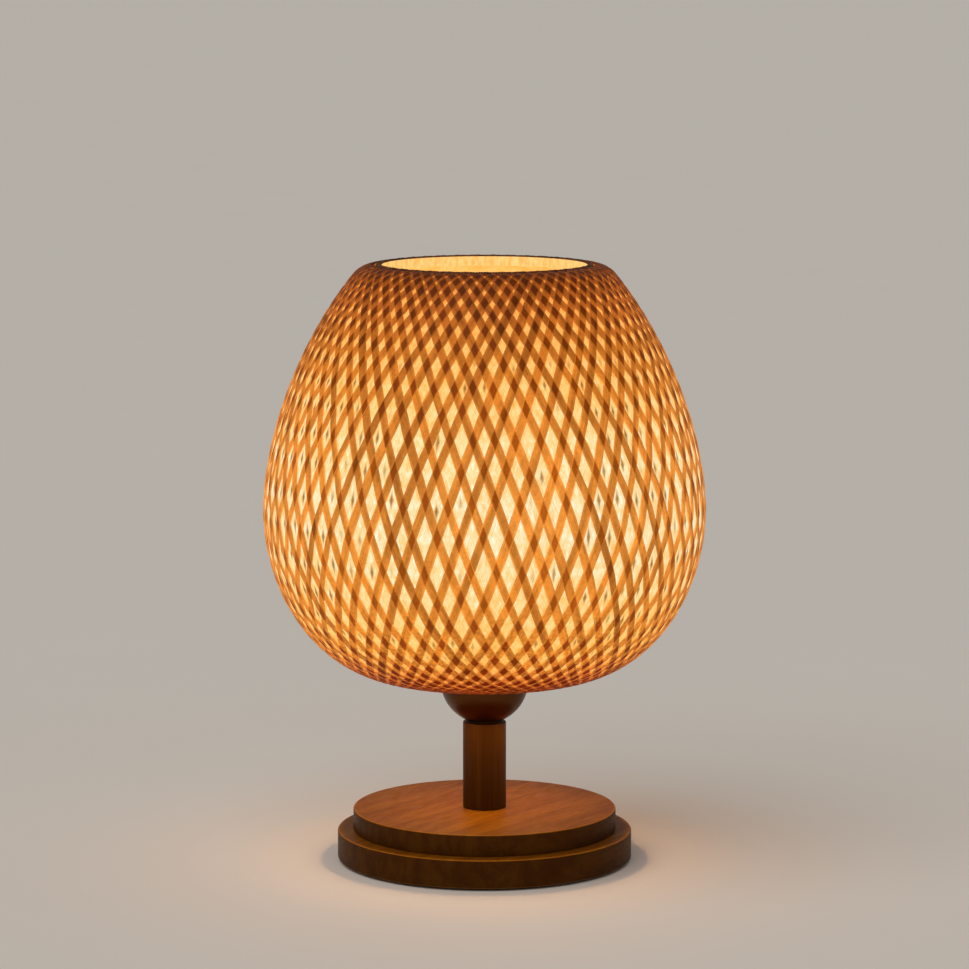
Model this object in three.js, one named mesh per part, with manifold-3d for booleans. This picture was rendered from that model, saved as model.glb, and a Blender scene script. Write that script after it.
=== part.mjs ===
// Table lamp: a round wooden base of two discs, a wooden post, a metal holder cup with an
// E27 lampholder in it, and a woven bamboo shade with a paper liner, carried on a steel spider.
// Millimetres, +Z up. The origin is the centre of the underside, where the lamp stands.
// Threads are plain cylinders with running clearance.

import * as THREE from 'three';
import { mergeVertices } from 'three/addons/utils/BufferGeometryUtils.js';
import Module from 'manifold-3d';

const wasm = await Module();
wasm.setup();

// ---------------------------------------------------------------- driving dimensions

// Clearances shared by every fit
const SEAT = 0.05; // between two faces that rest on each other
const FIT = 0.3; // around anything that passes through or sits inside a hole

// Base
const PAD_THICKNESS = 1.25;
const PAD_INSET = 5; // pad edge inside the lower disc's edge
const LOWER_DISC_RADIUS = 75;
const LOWER_DISC_THICKNESS = 14.2;
const UPPER_DISC_RADIUS = 67;
const UPPER_DISC_THICKNESS = 11;
const DISC_EDGE_RADIUS = 1.2;
const NUT_RECESS_RADIUS = 17;
const NUT_RECESS_DEPTH = 10;

// Wood screws that hold the two discs together
const SCREW_COUNT = 3;
const SCREW_SHANK_RADIUS = 2;
const SCREW_HEAD_RADIUS = 4;
const SCREW_LENGTH = 20.5;
const SCREW_CIRCLE_RADIUS = 42;

// Post and the threaded tube that clamps base, post and cup together
const POST_RADIUS = 11;
const POST_HEIGHT = 44.4;
const POST_EDGE_RADIUS = 0.6;
const TUBE_RADIUS = 5;
const TUBE_BORE_RADIUS = 3.5;
const TUBE_TAIL = 1.5; // tube standing out past each nut
const NUT_ACROSS_FLATS = 14;
const NUT_HEIGHT = 4;
const NUT_WASHER_RADIUS = 12;
const NUT_WASHER_THICKNESS = 1.5;
const CUP_WASHER_RADIUS = 8;
const CUP_WASHER_THICKNESS = 0.8;

// Cord grommet at the back of the lower disc
const GROMMET_BORE_RADIUS = 3.2;
const GROMMET_WALL = 1.2;
const GROMMET_LENGTH = 9;
const GROMMET_FLANGE = 1.6; // radial step of the flange
const GROMMET_FLANGE_THICKNESS = 1.8;

// E27 lampholder; its radii build outwards from the bulb's cap
const BULB_CAP_RADIUS = 13.2;
const THREAD_SHELL_CLEARANCE = 0.6;
const THREAD_SHELL_WALL = 0.6;
const SKIRT_TO_SHELL = 3.4; // room for the terminals between thread shell and skirt
const SKIRT_WALL = 1.9;
const SKIRT_RISE = 21.6; // skirt standing above the cup's rim
const SKIRT_LIP = 2;
const SKIRT_TO_CUP = 1.6;
const CUP_WALL = 1.2;
const CUP_FLAT_RADIUS = 9.25; // flat where the round cup meets its washer
const INSERT_FLANGE_HEIGHT = 4;
const INSERT_HEADROOM = 1; // above the threaded tube's end
const TERMINAL_SHANK_RADIUS = 1.5;
const TERMINAL_HEAD_RADIUS = 2.2;
const TERMINAL_HEAD_HEIGHT = 1.6;
const TERMINAL_LENGTH = 3.5;
const CONTACT_THICKNESS = 0.6;
const CONTACT_WIDTH = 6;
const CONTACT_RISE = 2.4;

// Bulb: a slim LED bulb with a frosted diffuser
const BULB_TIP_RADIUS = 4.8;
const BULB_TIP_HEIGHT = 1.6;
const BULB_INSULATOR_HEIGHT = 4;
const BULB_CAP_HEIGHT = 20;
const BULB_CAP_WALL = 0.6;
const BULB_HOUSING_HEIGHT = 26;
const BULB_HOUSING_WALL = 1.5;
const BULB_RADIUS = 17.5;
const BULB_DIFFUSER_HEIGHT = 48;
const BULB_DIFFUSER_WALL = 1.2;
const LED_BOARD_THICKNESS = 1.6;
const LED_DOME_RADIUS = 6;
const LED_DOME_HEIGHT = 7;
const DRIVER_BOARD_WIDTH = 14;
const DRIVER_BOARD_THICKNESS = 1.6;

// Shade
const SHADE_RADIUS = 112.5;
const SHADE_HEIGHT = 211.8;
const SHADE_WIDEST_HEIGHT = 88; // of the widest circle above the shade's lower edge
const SHADE_ABOVE_CUP = 0.8; // from the cup's rim up to the shade's lower edge
const DOME_FULLNESS = 1.7; // 2 is an ellipse, 1 is a cone
const BOTTOM_OPENING_RADIUS = 37.7;
const BOTTOM_HOOP_WIDTH = 4;
const BOTTOM_HOOP_HEIGHT = 4;
const TOP_OPENING_RADIUS = 51.8;
const TOP_HOOP_WIDTH = 3;
const TOP_HOOP_HEIGHT = 4.2;
const RIM_TURN_IN = 10.9; // width of the weave's turned-in rim
const RIM_HEIGHT = 4.5;
const HOOP_EDGE_RADIUS = 0.8;
const WEAVE_THICKNESS = 1.8;
const LINER_THICKNESS = 0.6;

// Spider and the ring that holds it down
const HUB_WIDTH = 6;
const HUB_THICKNESS = 1.2;
const ARM_COUNT = 3;
const ARM_WIDTH = 6;
const ARM_THICKNESS = 1.2;
const ARM_LAP = 2.8; // length of arm under the hub
const ARM_TAB_HEIGHT = 6;
const RING_WASHER_THICKNESS = 1;
const RING_WASHER_WIDTH = 5;
const RING_WALL = 4.6;
const RING_HEIGHT = 6.5;
const RING_GRIPS = 16;
const RING_GRIP_DEPTH = 1;

// Facets around each size of round piece
const FACETS_LARGE = 40;
const FACETS_MEDIUM = 24;
const FACETS_SMALL = 12;
const CORNER_STEPS = 2; // facets round a small edge
const BOWL_STEPS = 6;
const DOME_STEPS = 6;
const RIM_STEPS = 3;
const CUP_STEPS = 6;

// ---------------------------------------------------------------- places worked out from them

const lowerDiscBottom = PAD_THICKNESS + SEAT;
const lowerDiscTop = lowerDiscBottom + LOWER_DISC_THICKNESS;
const upperDiscBottom = lowerDiscTop + SEAT;
const upperDiscTop = upperDiscBottom + UPPER_DISC_THICKNESS;
const postBottom = upperDiscTop + SEAT;
const postTop = postBottom + POST_HEIGHT;

const tubeHoleRadius = TUBE_RADIUS + FIT;
const nutWasherBottom = lowerDiscBottom + NUT_RECESS_DEPTH - SEAT - NUT_WASHER_THICKNESS;
const lowerNutBottom = nutWasherBottom - SEAT - NUT_HEIGHT;
const tubeBottom = lowerNutBottom - TUBE_TAIL;
const nutCornerRadius = NUT_ACROSS_FLATS / Math.sqrt(3);

const threadShellInner = BULB_CAP_RADIUS + THREAD_SHELL_CLEARANCE;
const threadShellOuter = threadShellInner + THREAD_SHELL_WALL;
const skirtInner = threadShellOuter + SKIRT_TO_SHELL;
const skirtOuter = skirtInner + SKIRT_WALL;
const cupInner = skirtOuter + SKIRT_TO_CUP;
const cupOuter = cupInner + CUP_WALL;

const cupWasherBottom = postTop + SEAT;
const cupBottom = cupWasherBottom + CUP_WASHER_THICKNESS + SEAT;
const cupFloor = cupBottom + CUP_WALL;
const cupRim = cupBottom + Math.sqrt(cupOuter ** 2 - CUP_FLAT_RADIUS ** 2);
const upperNutBottom = cupFloor + SEAT;
const tubeTop = upperNutBottom + NUT_HEIGHT + TUBE_TAIL;

// The skirt goes down into the cup until its lower edge is close to the round wall.
const skirtBottom = cupRim - Math.sqrt(cupInner ** 2 - (skirtOuter + 2 * FIT) ** 2);
const insertBottom = tubeTop + INSERT_HEADROOM;
const insertFlangeBottom = skirtBottom - INSERT_FLANGE_HEIGHT / 2;
const insertTop = insertFlangeBottom + INSERT_FLANGE_HEIGHT;
const terminalCircleRadius = nutCornerRadius + TERMINAL_HEAD_RADIUS + FIT;
const skirtTop = cupRim + SKIRT_RISE;
const shellTop = skirtTop - SKIRT_LIP - FIT;

const bulbTipBottom = insertTop + SEAT + CONTACT_RISE + FIT;
const bulbInsulatorBottom = bulbTipBottom + BULB_TIP_HEIGHT + SEAT;
const bulbCapBottom = bulbInsulatorBottom + BULB_INSULATOR_HEIGHT + SEAT;
const bulbHousingBottom = bulbCapBottom + BULB_CAP_HEIGHT + SEAT;
const ledBoardBottom = bulbHousingBottom + BULB_HOUSING_HEIGHT + SEAT;
const ledDomeBottom = ledBoardBottom + LED_BOARD_THICKNESS + SEAT;

const hubInner = skirtOuter + FIT;
const hubOuter = hubInner + HUB_WIDTH;
const hubBottom = cupRim + SEAT;
const ringWasherBottom = hubBottom + HUB_THICKNESS + SEAT;
const ringBottom = ringWasherBottom + RING_WASHER_THICKNESS + SEAT;

const shadeBottom = cupRim + SHADE_ABOVE_CUP;
const shadeTop = shadeBottom + SHADE_HEIGHT;
const bottomHoopOuter = BOTTOM_OPENING_RADIUS + BOTTOM_HOOP_WIDTH;
const topHoopOuter = TOP_OPENING_RADIUS + TOP_HOOP_WIDTH;

// ---------------------------------------------------------------- shape helpers

// A closed body turned about Z. The profile holds [radius, height] pairs, counter-clockwise.
function turned(profile, facets) {
  const points = profile.map(([radius, height]) => new THREE.Vector2(radius, height));
  const geometry = new THREE.LatheGeometry(points, facets);
  geometry.rotateX(Math.PI / 2);
  return geometry;
}

// A quarter circle from one angle to another, in degrees, as [radius, height] pairs.
function arc(centreRadius, centreHeight, size, fromDegrees, toDegrees, steps) {
  return Array.from({ length: steps + 1 }, (_, step) => {
    const angle = THREE.MathUtils.degToRad(THREE.MathUtils.lerp(fromDegrees, toDegrees, step / steps));
    return [centreRadius + size * Math.cos(angle), centreHeight + size * Math.sin(angle)];
  });
}

// A flat ring or bored disc with its outer edges rounded.
function ring(inner, outer, height, edge, facets) {
  const profile = [
    [inner, 0],
    ...arc(outer - edge, edge, edge, -90, 0, CORNER_STEPS),
    ...arc(outer - edge, height - edge, edge, 0, 90, CORNER_STEPS),
    [inner, height],
    [inner, 0],
  ];
  return turned(profile, facets);
}

// A plain tube with square ends.
function tube(inner, outer, height, facets) {
  return turned([[inner, 0], [outer, 0], [outer, height], [inner, height], [inner, 0]], facets);
}

// An outline pushed up by a height.
function raised(shape, height) {
  const options = { depth: height, bevelEnabled: false, curveSegments: FACETS_SMALL };
  return new THREE.ExtrudeGeometry(shape, options);
}

// A bent strip: its side outline in [x, height] pairs, with a width across Y.
function bentStrip(outline, width) {
  const shape = new THREE.Shape(outline.map(([x, height]) => new THREE.Vector2(x, height)));
  const geometry = new THREE.ExtrudeGeometry(shape, { depth: width, bevelEnabled: false });
  geometry.translate(0, 0, -width / 2);
  geometry.rotateX(Math.PI / 2);
  return geometry;
}

// The solid of a closed geometry, for cutting.
function toSolid(geometry) {
  const bare = geometry.clone();
  bare.deleteAttribute('normal');
  bare.deleteAttribute('uv');
  const merged = mergeVertices(bare);
  const mesh = new wasm.Mesh({
    numProp: 3,
    vertProperties: new Float32Array(merged.attributes.position.array),
    triVerts: new Uint32Array(merged.index.array),
  });
  return new wasm.Manifold(mesh);
}

// The first geometry with every other one cut out of it.
function cut(geometry, ...cutters) {
  const solid = cutters.reduce((left, cutter) => left.subtract(toSolid(cutter)), toSolid(geometry));
  const mesh = solid.getMesh();
  const result = new THREE.BufferGeometry();
  result.setAttribute('position', new THREE.BufferAttribute(mesh.vertProperties, 3));
  result.setIndex(new THREE.BufferAttribute(mesh.triVerts, 1));
  return result;
}

// Points moved inwards along the outline's own normal; the outline runs bottom to top.
function movedInwards(outline, distance) {
  return outline.map(([radius, height], index) => {
    const before = outline[Math.max(index - 1, 0)];
    const after = outline[Math.min(index + 1, outline.length - 1)];
    let tangent = new THREE.Vector2(after[0] - before[0], after[1] - before[1]).normalize();
    if (index === 0) {
      tangent = new THREE.Vector2(1, 0);
    }
    if (index === outline.length - 1) {
      tangent = new THREE.Vector2(-1, 0);
    }
    return [radius - tangent.y * distance, height + tangent.x * distance];
  });
}

// ---------------------------------------------------------------- finishes

function finish(color, roughness, metalness = 0) {
  return new THREE.MeshStandardMaterial({ color, roughness, metalness });
}

const wood = () => finish(0x8a4a1f, 0.45);
const darkWood = () => finish(0x4a2714, 0.5);
const bamboo = () => finish(0xb8691f, 0.6);
const linerPaper = () => finish(0xf2dca4, 0.9);
const bronze = () => finish(0x8c6234, 0.3, 1);
const brass = () => finish(0xb99a55, 0.35, 1);
const zincSteel = () => finish(0x9a9da0, 0.4, 1);
const blackPhenolic = () => finish(0x1b1a19, 0.5);
const porcelain = () => finish(0xe9e6dd, 0.35);
const opal = () => finish(0xfff3dc, 0.5);
const clearPlastic = () => finish(0xfdf6d8, 0.2);
const whitePlastic = () => finish(0xeeeae2, 0.5);
const circuitBoard = () => finish(0x2f5a3a, 0.6);
const aluminium = () => finish(0xc8cacc, 0.4, 1);
const felt = () => finish(0x3a2a20, 0.95);
const rubber = () => finish(0x1c1a19, 0.8);

const lamp = new THREE.Group();

// Adds one sub-part to a group at a height on the lamp's axis.
function add(group, name, geometry, material, height = 0) {
  const mesh = new THREE.Mesh(geometry, material);
  mesh.name = name;
  mesh.position.z = height;
  group.add(mesh);
  return mesh;
}

// ---------------------------------------------------------------- base

const base = new THREE.Group();
lamp.add(base);

const padRadius = LOWER_DISC_RADIUS - PAD_INSET;
add(base, 'base_pad', tube(NUT_RECESS_RADIUS + FIT, padRadius, PAD_THICKNESS, FACETS_LARGE), felt());

// Wood screw, head down at height 0 and point up, grown all over by a clearance.
function screw(grow) {
  const neck = SCREW_HEAD_RADIUS - SCREW_SHANK_RADIUS;
  const point = SCREW_SHANK_RADIUS * 1.5;
  const profile = [
    [0, -grow],
    [SCREW_HEAD_RADIUS + grow, -grow],
    [SCREW_SHANK_RADIUS + grow, neck],
    [SCREW_SHANK_RADIUS + grow, SCREW_LENGTH - point],
    [0, SCREW_LENGTH + grow],
  ];
  return turned(profile, FACETS_SMALL);
}

const screwBottom = lowerDiscBottom + FIT;
const screwAngles = Array.from({ length: SCREW_COUNT }, (_, index) => (index * 2 * Math.PI) / SCREW_COUNT);
const screwPlaces = screwAngles.map((angle) => new THREE.Vector3(
  SCREW_CIRCLE_RADIUS * Math.cos(angle),
  SCREW_CIRCLE_RADIUS * Math.sin(angle),
  screwBottom,
));

const grommetOuter = GROMMET_BORE_RADIUS + GROMMET_WALL;
const grommetHeight = lowerDiscBottom + NUT_RECESS_DEPTH / 2;
const cordHoleRadius = grommetOuter + FIT;

// A body turned about the Y axis, for the cord's way in at the back; the profile's heights run along Y.
function turnedAlongY(profile) {
  const geometry = turned(profile.map(([radius, along]) => [radius, -along]).reverse(), FACETS_SMALL);
  geometry.rotateX(Math.PI / 2);
  return geometry;
}

// One of the base's discs, with its bore, edges and screw holes, and any other cutters.
function baseDisc(radius, thickness, bottom, ...cutters) {
  const disc = ring(tubeHoleRadius, radius, thickness, DISC_EDGE_RADIUS, FACETS_LARGE);
  const holes = screwPlaces.map((place) => screw(FIT).translate(place.x, place.y, place.z - bottom));
  return cut(disc, ...cutters, ...holes);
}

function lowerDisc() {
  const recess = turned([
    [0, -1],
    [NUT_RECESS_RADIUS, -1],
    [NUT_RECESS_RADIUS, NUT_RECESS_DEPTH],
    [0, NUT_RECESS_DEPTH],
  ], FACETS_MEDIUM);
  const cordHole = turnedAlongY([
    [0, NUT_RECESS_RADIUS / 2],
    [cordHoleRadius, NUT_RECESS_RADIUS / 2],
    [cordHoleRadius, LOWER_DISC_RADIUS + 1],
    [0, LOWER_DISC_RADIUS + 1],
  ]).translate(0, 0, grommetHeight - lowerDiscBottom);
  return baseDisc(LOWER_DISC_RADIUS, LOWER_DISC_THICKNESS, lowerDiscBottom, recess, cordHole);
}

const upperDisc = baseDisc(UPPER_DISC_RADIUS, UPPER_DISC_THICKNESS, upperDiscBottom);
add(base, 'base_lower_disc', lowerDisc(), wood(), lowerDiscBottom);
add(base, 'base_upper_disc', upperDisc, wood(), upperDiscBottom);

screwPlaces.forEach((place, index) => {
  const mesh = add(base, `base_screw_${index + 1}`, screw(0), zincSteel());
  mesh.position.copy(place);
});

// Rubber bushing in the cord's hole, its flange outside the disc.
function grommet() {
  const flangeInside = LOWER_DISC_RADIUS + FIT;
  const flangeOuter = grommetOuter + GROMMET_FLANGE;
  return turnedAlongY([
    [GROMMET_BORE_RADIUS, flangeInside - GROMMET_LENGTH],
    [grommetOuter, flangeInside - GROMMET_LENGTH],
    [grommetOuter, flangeInside],
    [flangeOuter, flangeInside],
    [flangeOuter, flangeInside + GROMMET_FLANGE_THICKNESS],
    [GROMMET_BORE_RADIUS, flangeInside + GROMMET_FLANGE_THICKNESS],
    [GROMMET_BORE_RADIUS, flangeInside - GROMMET_LENGTH],
  ]);
}

add(base, 'cord_grommet', grommet(), rubber(), grommetHeight);

// ---------------------------------------------------------------- post and clamping tube

const stem = new THREE.Group();
lamp.add(stem);

const post = ring(tubeHoleRadius, POST_RADIUS, POST_HEIGHT, POST_EDGE_RADIUS, FACETS_MEDIUM);
const threadedTube = tube(TUBE_BORE_RADIUS, TUBE_RADIUS, tubeTop - tubeBottom, FACETS_SMALL);
add(stem, 'post', post, darkWood(), postBottom);
add(stem, 'threaded_tube', threadedTube, zincSteel(), tubeBottom);

// Six-sided nut with a plain bore.
function nut() {
  const shape = new THREE.Shape();
  for (let corner = 0; corner < 6; corner += 1) {
    const angle = (corner * Math.PI) / 3;
    const point = [nutCornerRadius * Math.cos(angle), nutCornerRadius * Math.sin(angle)];
    if (corner === 0) {
      shape.moveTo(...point);
    } else {
      shape.lineTo(...point);
    }
  }
  shape.closePath();
  shape.holes.push(new THREE.Path().absarc(0, 0, tubeHoleRadius, 0, 2 * Math.PI, true));
  return raised(shape, NUT_HEIGHT);
}

const nutWasher = tube(tubeHoleRadius, NUT_WASHER_RADIUS, NUT_WASHER_THICKNESS, FACETS_MEDIUM);
const cupWasher = tube(tubeHoleRadius, CUP_WASHER_RADIUS, CUP_WASHER_THICKNESS, FACETS_MEDIUM);
add(stem, 'lower_washer', nutWasher, zincSteel(), nutWasherBottom);
add(stem, 'lower_nut', nut(), zincSteel(), lowerNutBottom);
add(stem, 'cup_washer', cupWasher, brass(), cupWasherBottom);
add(stem, 'upper_nut', nut(), zincSteel(), upperNutBottom);

// ---------------------------------------------------------------- lampholder

const holder = new THREE.Group();
lamp.add(holder);

// Half a sphere with a flat, bored bottom; the rim is at the sphere's widest circle.
function holderCup() {
  const rim = cupRim - cupBottom;
  const degrees = THREE.MathUtils.radToDeg;
  const outerStart = -degrees(Math.asin(rim / cupOuter));
  const innerStart = -degrees(Math.asin((rim - CUP_WALL) / cupInner));
  const profile = [
    [tubeHoleRadius, 0],
    ...arc(0, rim, cupOuter, outerStart, 0, CUP_STEPS),
    ...arc(0, rim, cupInner, 0, innerStart, CUP_STEPS),
    [tubeHoleRadius, CUP_WALL],
    [tubeHoleRadius, 0],
  ];
  return turned(profile, FACETS_LARGE);
}

add(holder, 'holder_cup', holderCup(), bronze(), cupBottom);

// Terminal screw, its head below height 0 and its shank above, grown by a clearance.
function terminalScrew(grow) {
  const profile = [
    [0, -TERMINAL_HEAD_HEIGHT],
    [TERMINAL_HEAD_RADIUS, -TERMINAL_HEAD_HEIGHT],
    [TERMINAL_HEAD_RADIUS, 0],
    [TERMINAL_SHANK_RADIUS + grow, 0],
    [TERMINAL_SHANK_RADIUS + grow, TERMINAL_LENGTH + grow],
    [0, TERMINAL_LENGTH + grow],
  ];
  return turned(profile, FACETS_SMALL);
}

const terminalSides = [1, -1];

function holderInsert() {
  const footRadius = terminalCircleRadius + TERMINAL_HEAD_RADIUS + FIT;
  const footHeight = insertFlangeBottom - insertBottom;
  const flangeRadius = skirtInner - FIT;
  const body = turned([
    [0, 0],
    [footRadius, 0],
    [footRadius, footHeight],
    [flangeRadius, footHeight],
    [flangeRadius, footHeight + INSERT_FLANGE_HEIGHT],
    [0, footHeight + INSERT_FLANGE_HEIGHT],
  ], FACETS_MEDIUM);
  const holes = terminalSides
    .map((side) => terminalScrew(FIT).translate(side * terminalCircleRadius, 0, 0));
  return cut(body, ...holes);
}

add(holder, 'holder_insert', holderInsert(), porcelain(), insertBottom);

terminalSides.forEach((side, index) => {
  const mesh = add(holder, `terminal_screw_${index + 1}`, terminalScrew(0), brass(), insertBottom - SEAT);
  mesh.position.x = side * terminalCircleRadius;
});

// Leaf spring under the bulb: a foot to one side, a slope, and a raised pad in the centre.
function centreContact() {
  const pad = CONTACT_WIDTH / 2;
  const foot = pad * 3;
  const outline = [
    [foot, 0],
    [foot, CONTACT_THICKNESS],
    [foot - pad, CONTACT_THICKNESS],
    [pad, CONTACT_RISE],
    [-pad, CONTACT_RISE],
    [-pad, CONTACT_RISE - CONTACT_THICKNESS],
    [pad - CONTACT_THICKNESS / 2, CONTACT_RISE - CONTACT_THICKNESS],
    [foot - pad - CONTACT_THICKNESS / 2, 0],
  ];
  return bentStrip(outline, CONTACT_WIDTH);
}

function skirt() {
  const height = skirtTop - skirtBottom;
  const lipInner = threadShellOuter + FIT;
  return turned([
    [skirtInner, 0],
    [skirtOuter, 0],
    [skirtOuter, height],
    [lipInner, height],
    [lipInner, height - SKIRT_LIP],
    [skirtInner, height - SKIRT_LIP],
    [skirtInner, 0],
  ], FACETS_MEDIUM);
}

const shellBottom = insertTop + SEAT;
const threadShell = tube(threadShellInner, threadShellOuter, shellTop - shellBottom, FACETS_MEDIUM);
add(holder, 'centre_contact', centreContact(), brass(), shellBottom);
add(holder, 'thread_shell', threadShell, brass(), shellBottom);
add(holder, 'holder_skirt', skirt(), blackPhenolic(), skirtBottom);

// ---------------------------------------------------------------- bulb

const bulb = new THREE.Group();
lamp.add(bulb);

const bulbTip = turned([
  [0, 0],
  [BULB_TIP_RADIUS * 0.6, 0],
  [BULB_TIP_RADIUS, BULB_TIP_HEIGHT / 2],
  [BULB_TIP_RADIUS, BULB_TIP_HEIGHT],
  [0, BULB_TIP_HEIGHT],
], FACETS_SMALL);

const bulbInsulator = turned([
  [0, 0],
  [BULB_TIP_RADIUS + BULB_CAP_WALL, 0],
  [BULB_CAP_RADIUS - BULB_CAP_WALL, BULB_INSULATOR_HEIGHT],
  [0, BULB_INSULATOR_HEIGHT],
], FACETS_MEDIUM);

const bulbCap = tube(BULB_CAP_RADIUS - BULB_CAP_WALL, BULB_CAP_RADIUS, BULB_CAP_HEIGHT, FACETS_MEDIUM);

const bulbHousing = turned([
  [BULB_CAP_RADIUS - BULB_HOUSING_WALL, 0],
  [BULB_CAP_RADIUS, 0],
  [BULB_RADIUS, BULB_HOUSING_HEIGHT],
  [BULB_RADIUS - BULB_HOUSING_WALL * 3, BULB_HOUSING_HEIGHT],
  [BULB_CAP_RADIUS - BULB_HOUSING_WALL, 0],
], FACETS_MEDIUM);

// Straight-sided dome, open at the bottom.
function bulbDiffuser() {
  const straight = BULB_DIFFUSER_HEIGHT - BULB_RADIUS;
  const inner = BULB_RADIUS - BULB_DIFFUSER_WALL;
  return turned([
    [inner, 0],
    [BULB_RADIUS, 0],
    ...arc(0, straight, BULB_RADIUS, 0, 90, CUP_STEPS),
    ...arc(0, straight, inner, 90, 0, CUP_STEPS),
    [inner, 0],
  ], FACETS_MEDIUM);
}

// Board between the cap and the LED board, standing on its edge.
function driverBoard() {
  const bottom = bulbCapBottom + FIT;
  const height = ledBoardBottom - FIT - bottom;
  const board = new THREE.BoxGeometry(DRIVER_BOARD_WIDTH, DRIVER_BOARD_THICKNESS, height);
  return board.translate(0, 0, height / 2);
}

const ledBoardRadius = BULB_RADIUS - BULB_DIFFUSER_WALL - FIT;
const ledBoard = turned([
  [0, 0],
  [ledBoardRadius, 0],
  [ledBoardRadius, LED_BOARD_THICKNESS],
  [0, LED_BOARD_THICKNESS],
], FACETS_MEDIUM);

// Clear lens over the lights on the board: half an ellipsoid.
function ledDome() {
  const profile = arc(0, 0, LED_DOME_RADIUS, 0, 90, CUP_STEPS)
    .map(([radius, height]) => [radius, (height * LED_DOME_HEIGHT) / LED_DOME_RADIUS]);
  return turned([[0, 0], ...profile], FACETS_SMALL);
}

add(bulb, 'bulb_tip', bulbTip, brass(), bulbTipBottom);
add(bulb, 'bulb_insulator', bulbInsulator, blackPhenolic(), bulbInsulatorBottom);
add(bulb, 'bulb_cap', bulbCap, brass(), bulbCapBottom);
add(bulb, 'bulb_housing', bulbHousing, whitePlastic(), bulbHousingBottom);
add(bulb, 'bulb_driver_board', driverBoard(), circuitBoard(), bulbCapBottom + FIT);
add(bulb, 'bulb_led_board', ledBoard, aluminium(), ledBoardBottom);
add(bulb, 'bulb_led_dome', ledDome(), clearPlastic(), ledDomeBottom);
add(bulb, 'bulb_diffuser', bulbDiffuser(), opal(), ledBoardBottom);

// ---------------------------------------------------------------- shade

const shade = new THREE.Group();
lamp.add(shade);

// Outer outline of the weave above the shade's lower edge, from the lower hoop to the upper one:
// a quarter ellipse for the bowl, a superellipse for the dome, and a curve for the turned-in rim.
function weaveOutline() {
  const start = bottomHoopOuter + FIT;
  const end = topHoopOuter + FIT;
  const shoulderRadius = end + RIM_TURN_IN;
  const shoulderRise = SHADE_HEIGHT - RIM_HEIGHT - SHADE_WIDEST_HEIGHT;
  const power = DOME_FULLNESS;
  const domeReach = shoulderRise / (1 - (shoulderRadius / SHADE_RADIUS) ** power) ** (1 / power);

  const bowl = Array.from({ length: BOWL_STEPS }, (_, step) => {
    const angle = (step / BOWL_STEPS) * (Math.PI / 2);
    return [
      start + (SHADE_RADIUS - start) * Math.sin(angle),
      SHADE_WIDEST_HEIGHT * (1 - Math.cos(angle)),
    ];
  });
  const dome = Array.from({ length: DOME_STEPS }, (_, step) => {
    const rise = (step / DOME_STEPS) * shoulderRise;
    const radius = SHADE_RADIUS * (1 - (rise / domeReach) ** power) ** (1 / power);
    return [radius, SHADE_WIDEST_HEIGHT + rise];
  });
  const rim = new THREE.QuadraticBezierCurve(
    new THREE.Vector2(shoulderRadius, SHADE_WIDEST_HEIGHT + shoulderRise),
    new THREE.Vector2(shoulderRadius - RIM_HEIGHT, SHADE_HEIGHT),
    new THREE.Vector2(end, SHADE_HEIGHT),
  ).getPoints(RIM_STEPS).map((point) => [point.x, point.y]);
  return [...bowl, ...dome, ...rim];
}

// A thin closed wall between two depths under the weave's outer outline.
function shadeWall(outerDepth, innerDepth) {
  const outline = weaveOutline();
  const outer = movedInwards(outline, outerDepth);
  const inner = movedInwards(outline, innerDepth).reverse();
  return turned([...outer, ...inner, outer[0]], FACETS_LARGE);
}

const linerDepth = WEAVE_THICKNESS + FIT;
add(shade, 'woven_shade', shadeWall(0, WEAVE_THICKNESS), bamboo(), shadeBottom);
add(shade, 'shade_liner', shadeWall(linerDepth, linerDepth + LINER_THICKNESS), linerPaper(), shadeBottom);

// Round bamboo hoop at one end of the weave.
function hoop(inner, outer, height) {
  return ring(inner, outer, height, HOOP_EDGE_RADIUS, FACETS_LARGE);
}

const bottomHoop = hoop(BOTTOM_OPENING_RADIUS, bottomHoopOuter, BOTTOM_HOOP_HEIGHT);
const topHoop = hoop(TOP_OPENING_RADIUS, topHoopOuter, TOP_HOOP_HEIGHT);
add(shade, 'bottom_hoop', bottomHoop, bamboo(), shadeBottom);
add(shade, 'top_hoop', topHoop, bamboo(), shadeTop - TOP_HOOP_HEIGHT);

add(shade, 'spider_hub', tube(hubInner, hubOuter, HUB_THICKNESS, FACETS_LARGE), zincSteel(), hubBottom);

// Arm under the hub's edge, with its outer end turned up against the inside of the lower hoop.
function spiderArm() {
  const start = hubOuter - ARM_LAP;
  const hoopFlat = BOTTOM_OPENING_RADIUS * Math.cos(Math.PI / FACETS_LARGE);
  const end = Math.sqrt(hoopFlat ** 2 - (ARM_WIDTH / 2) ** 2) - FIT;
  const outline = [
    [start, 0],
    [end, 0],
    [end, ARM_TAB_HEIGHT],
    [end - ARM_THICKNESS, ARM_TAB_HEIGHT],
    [end - ARM_THICKNESS, ARM_THICKNESS],
    [start, ARM_THICKNESS],
  ];
  return bentStrip(outline, ARM_WIDTH);
}

for (let index = 0; index < ARM_COUNT; index += 1) {
  const armBottom = hubBottom - SEAT - ARM_THICKNESS;
  const mesh = add(shade, `spider_arm_${index + 1}`, spiderArm(), zincSteel(), armBottom);
  mesh.rotation.z = Math.PI / 2 + (index * 2 * Math.PI) / ARM_COUNT;
}

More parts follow.
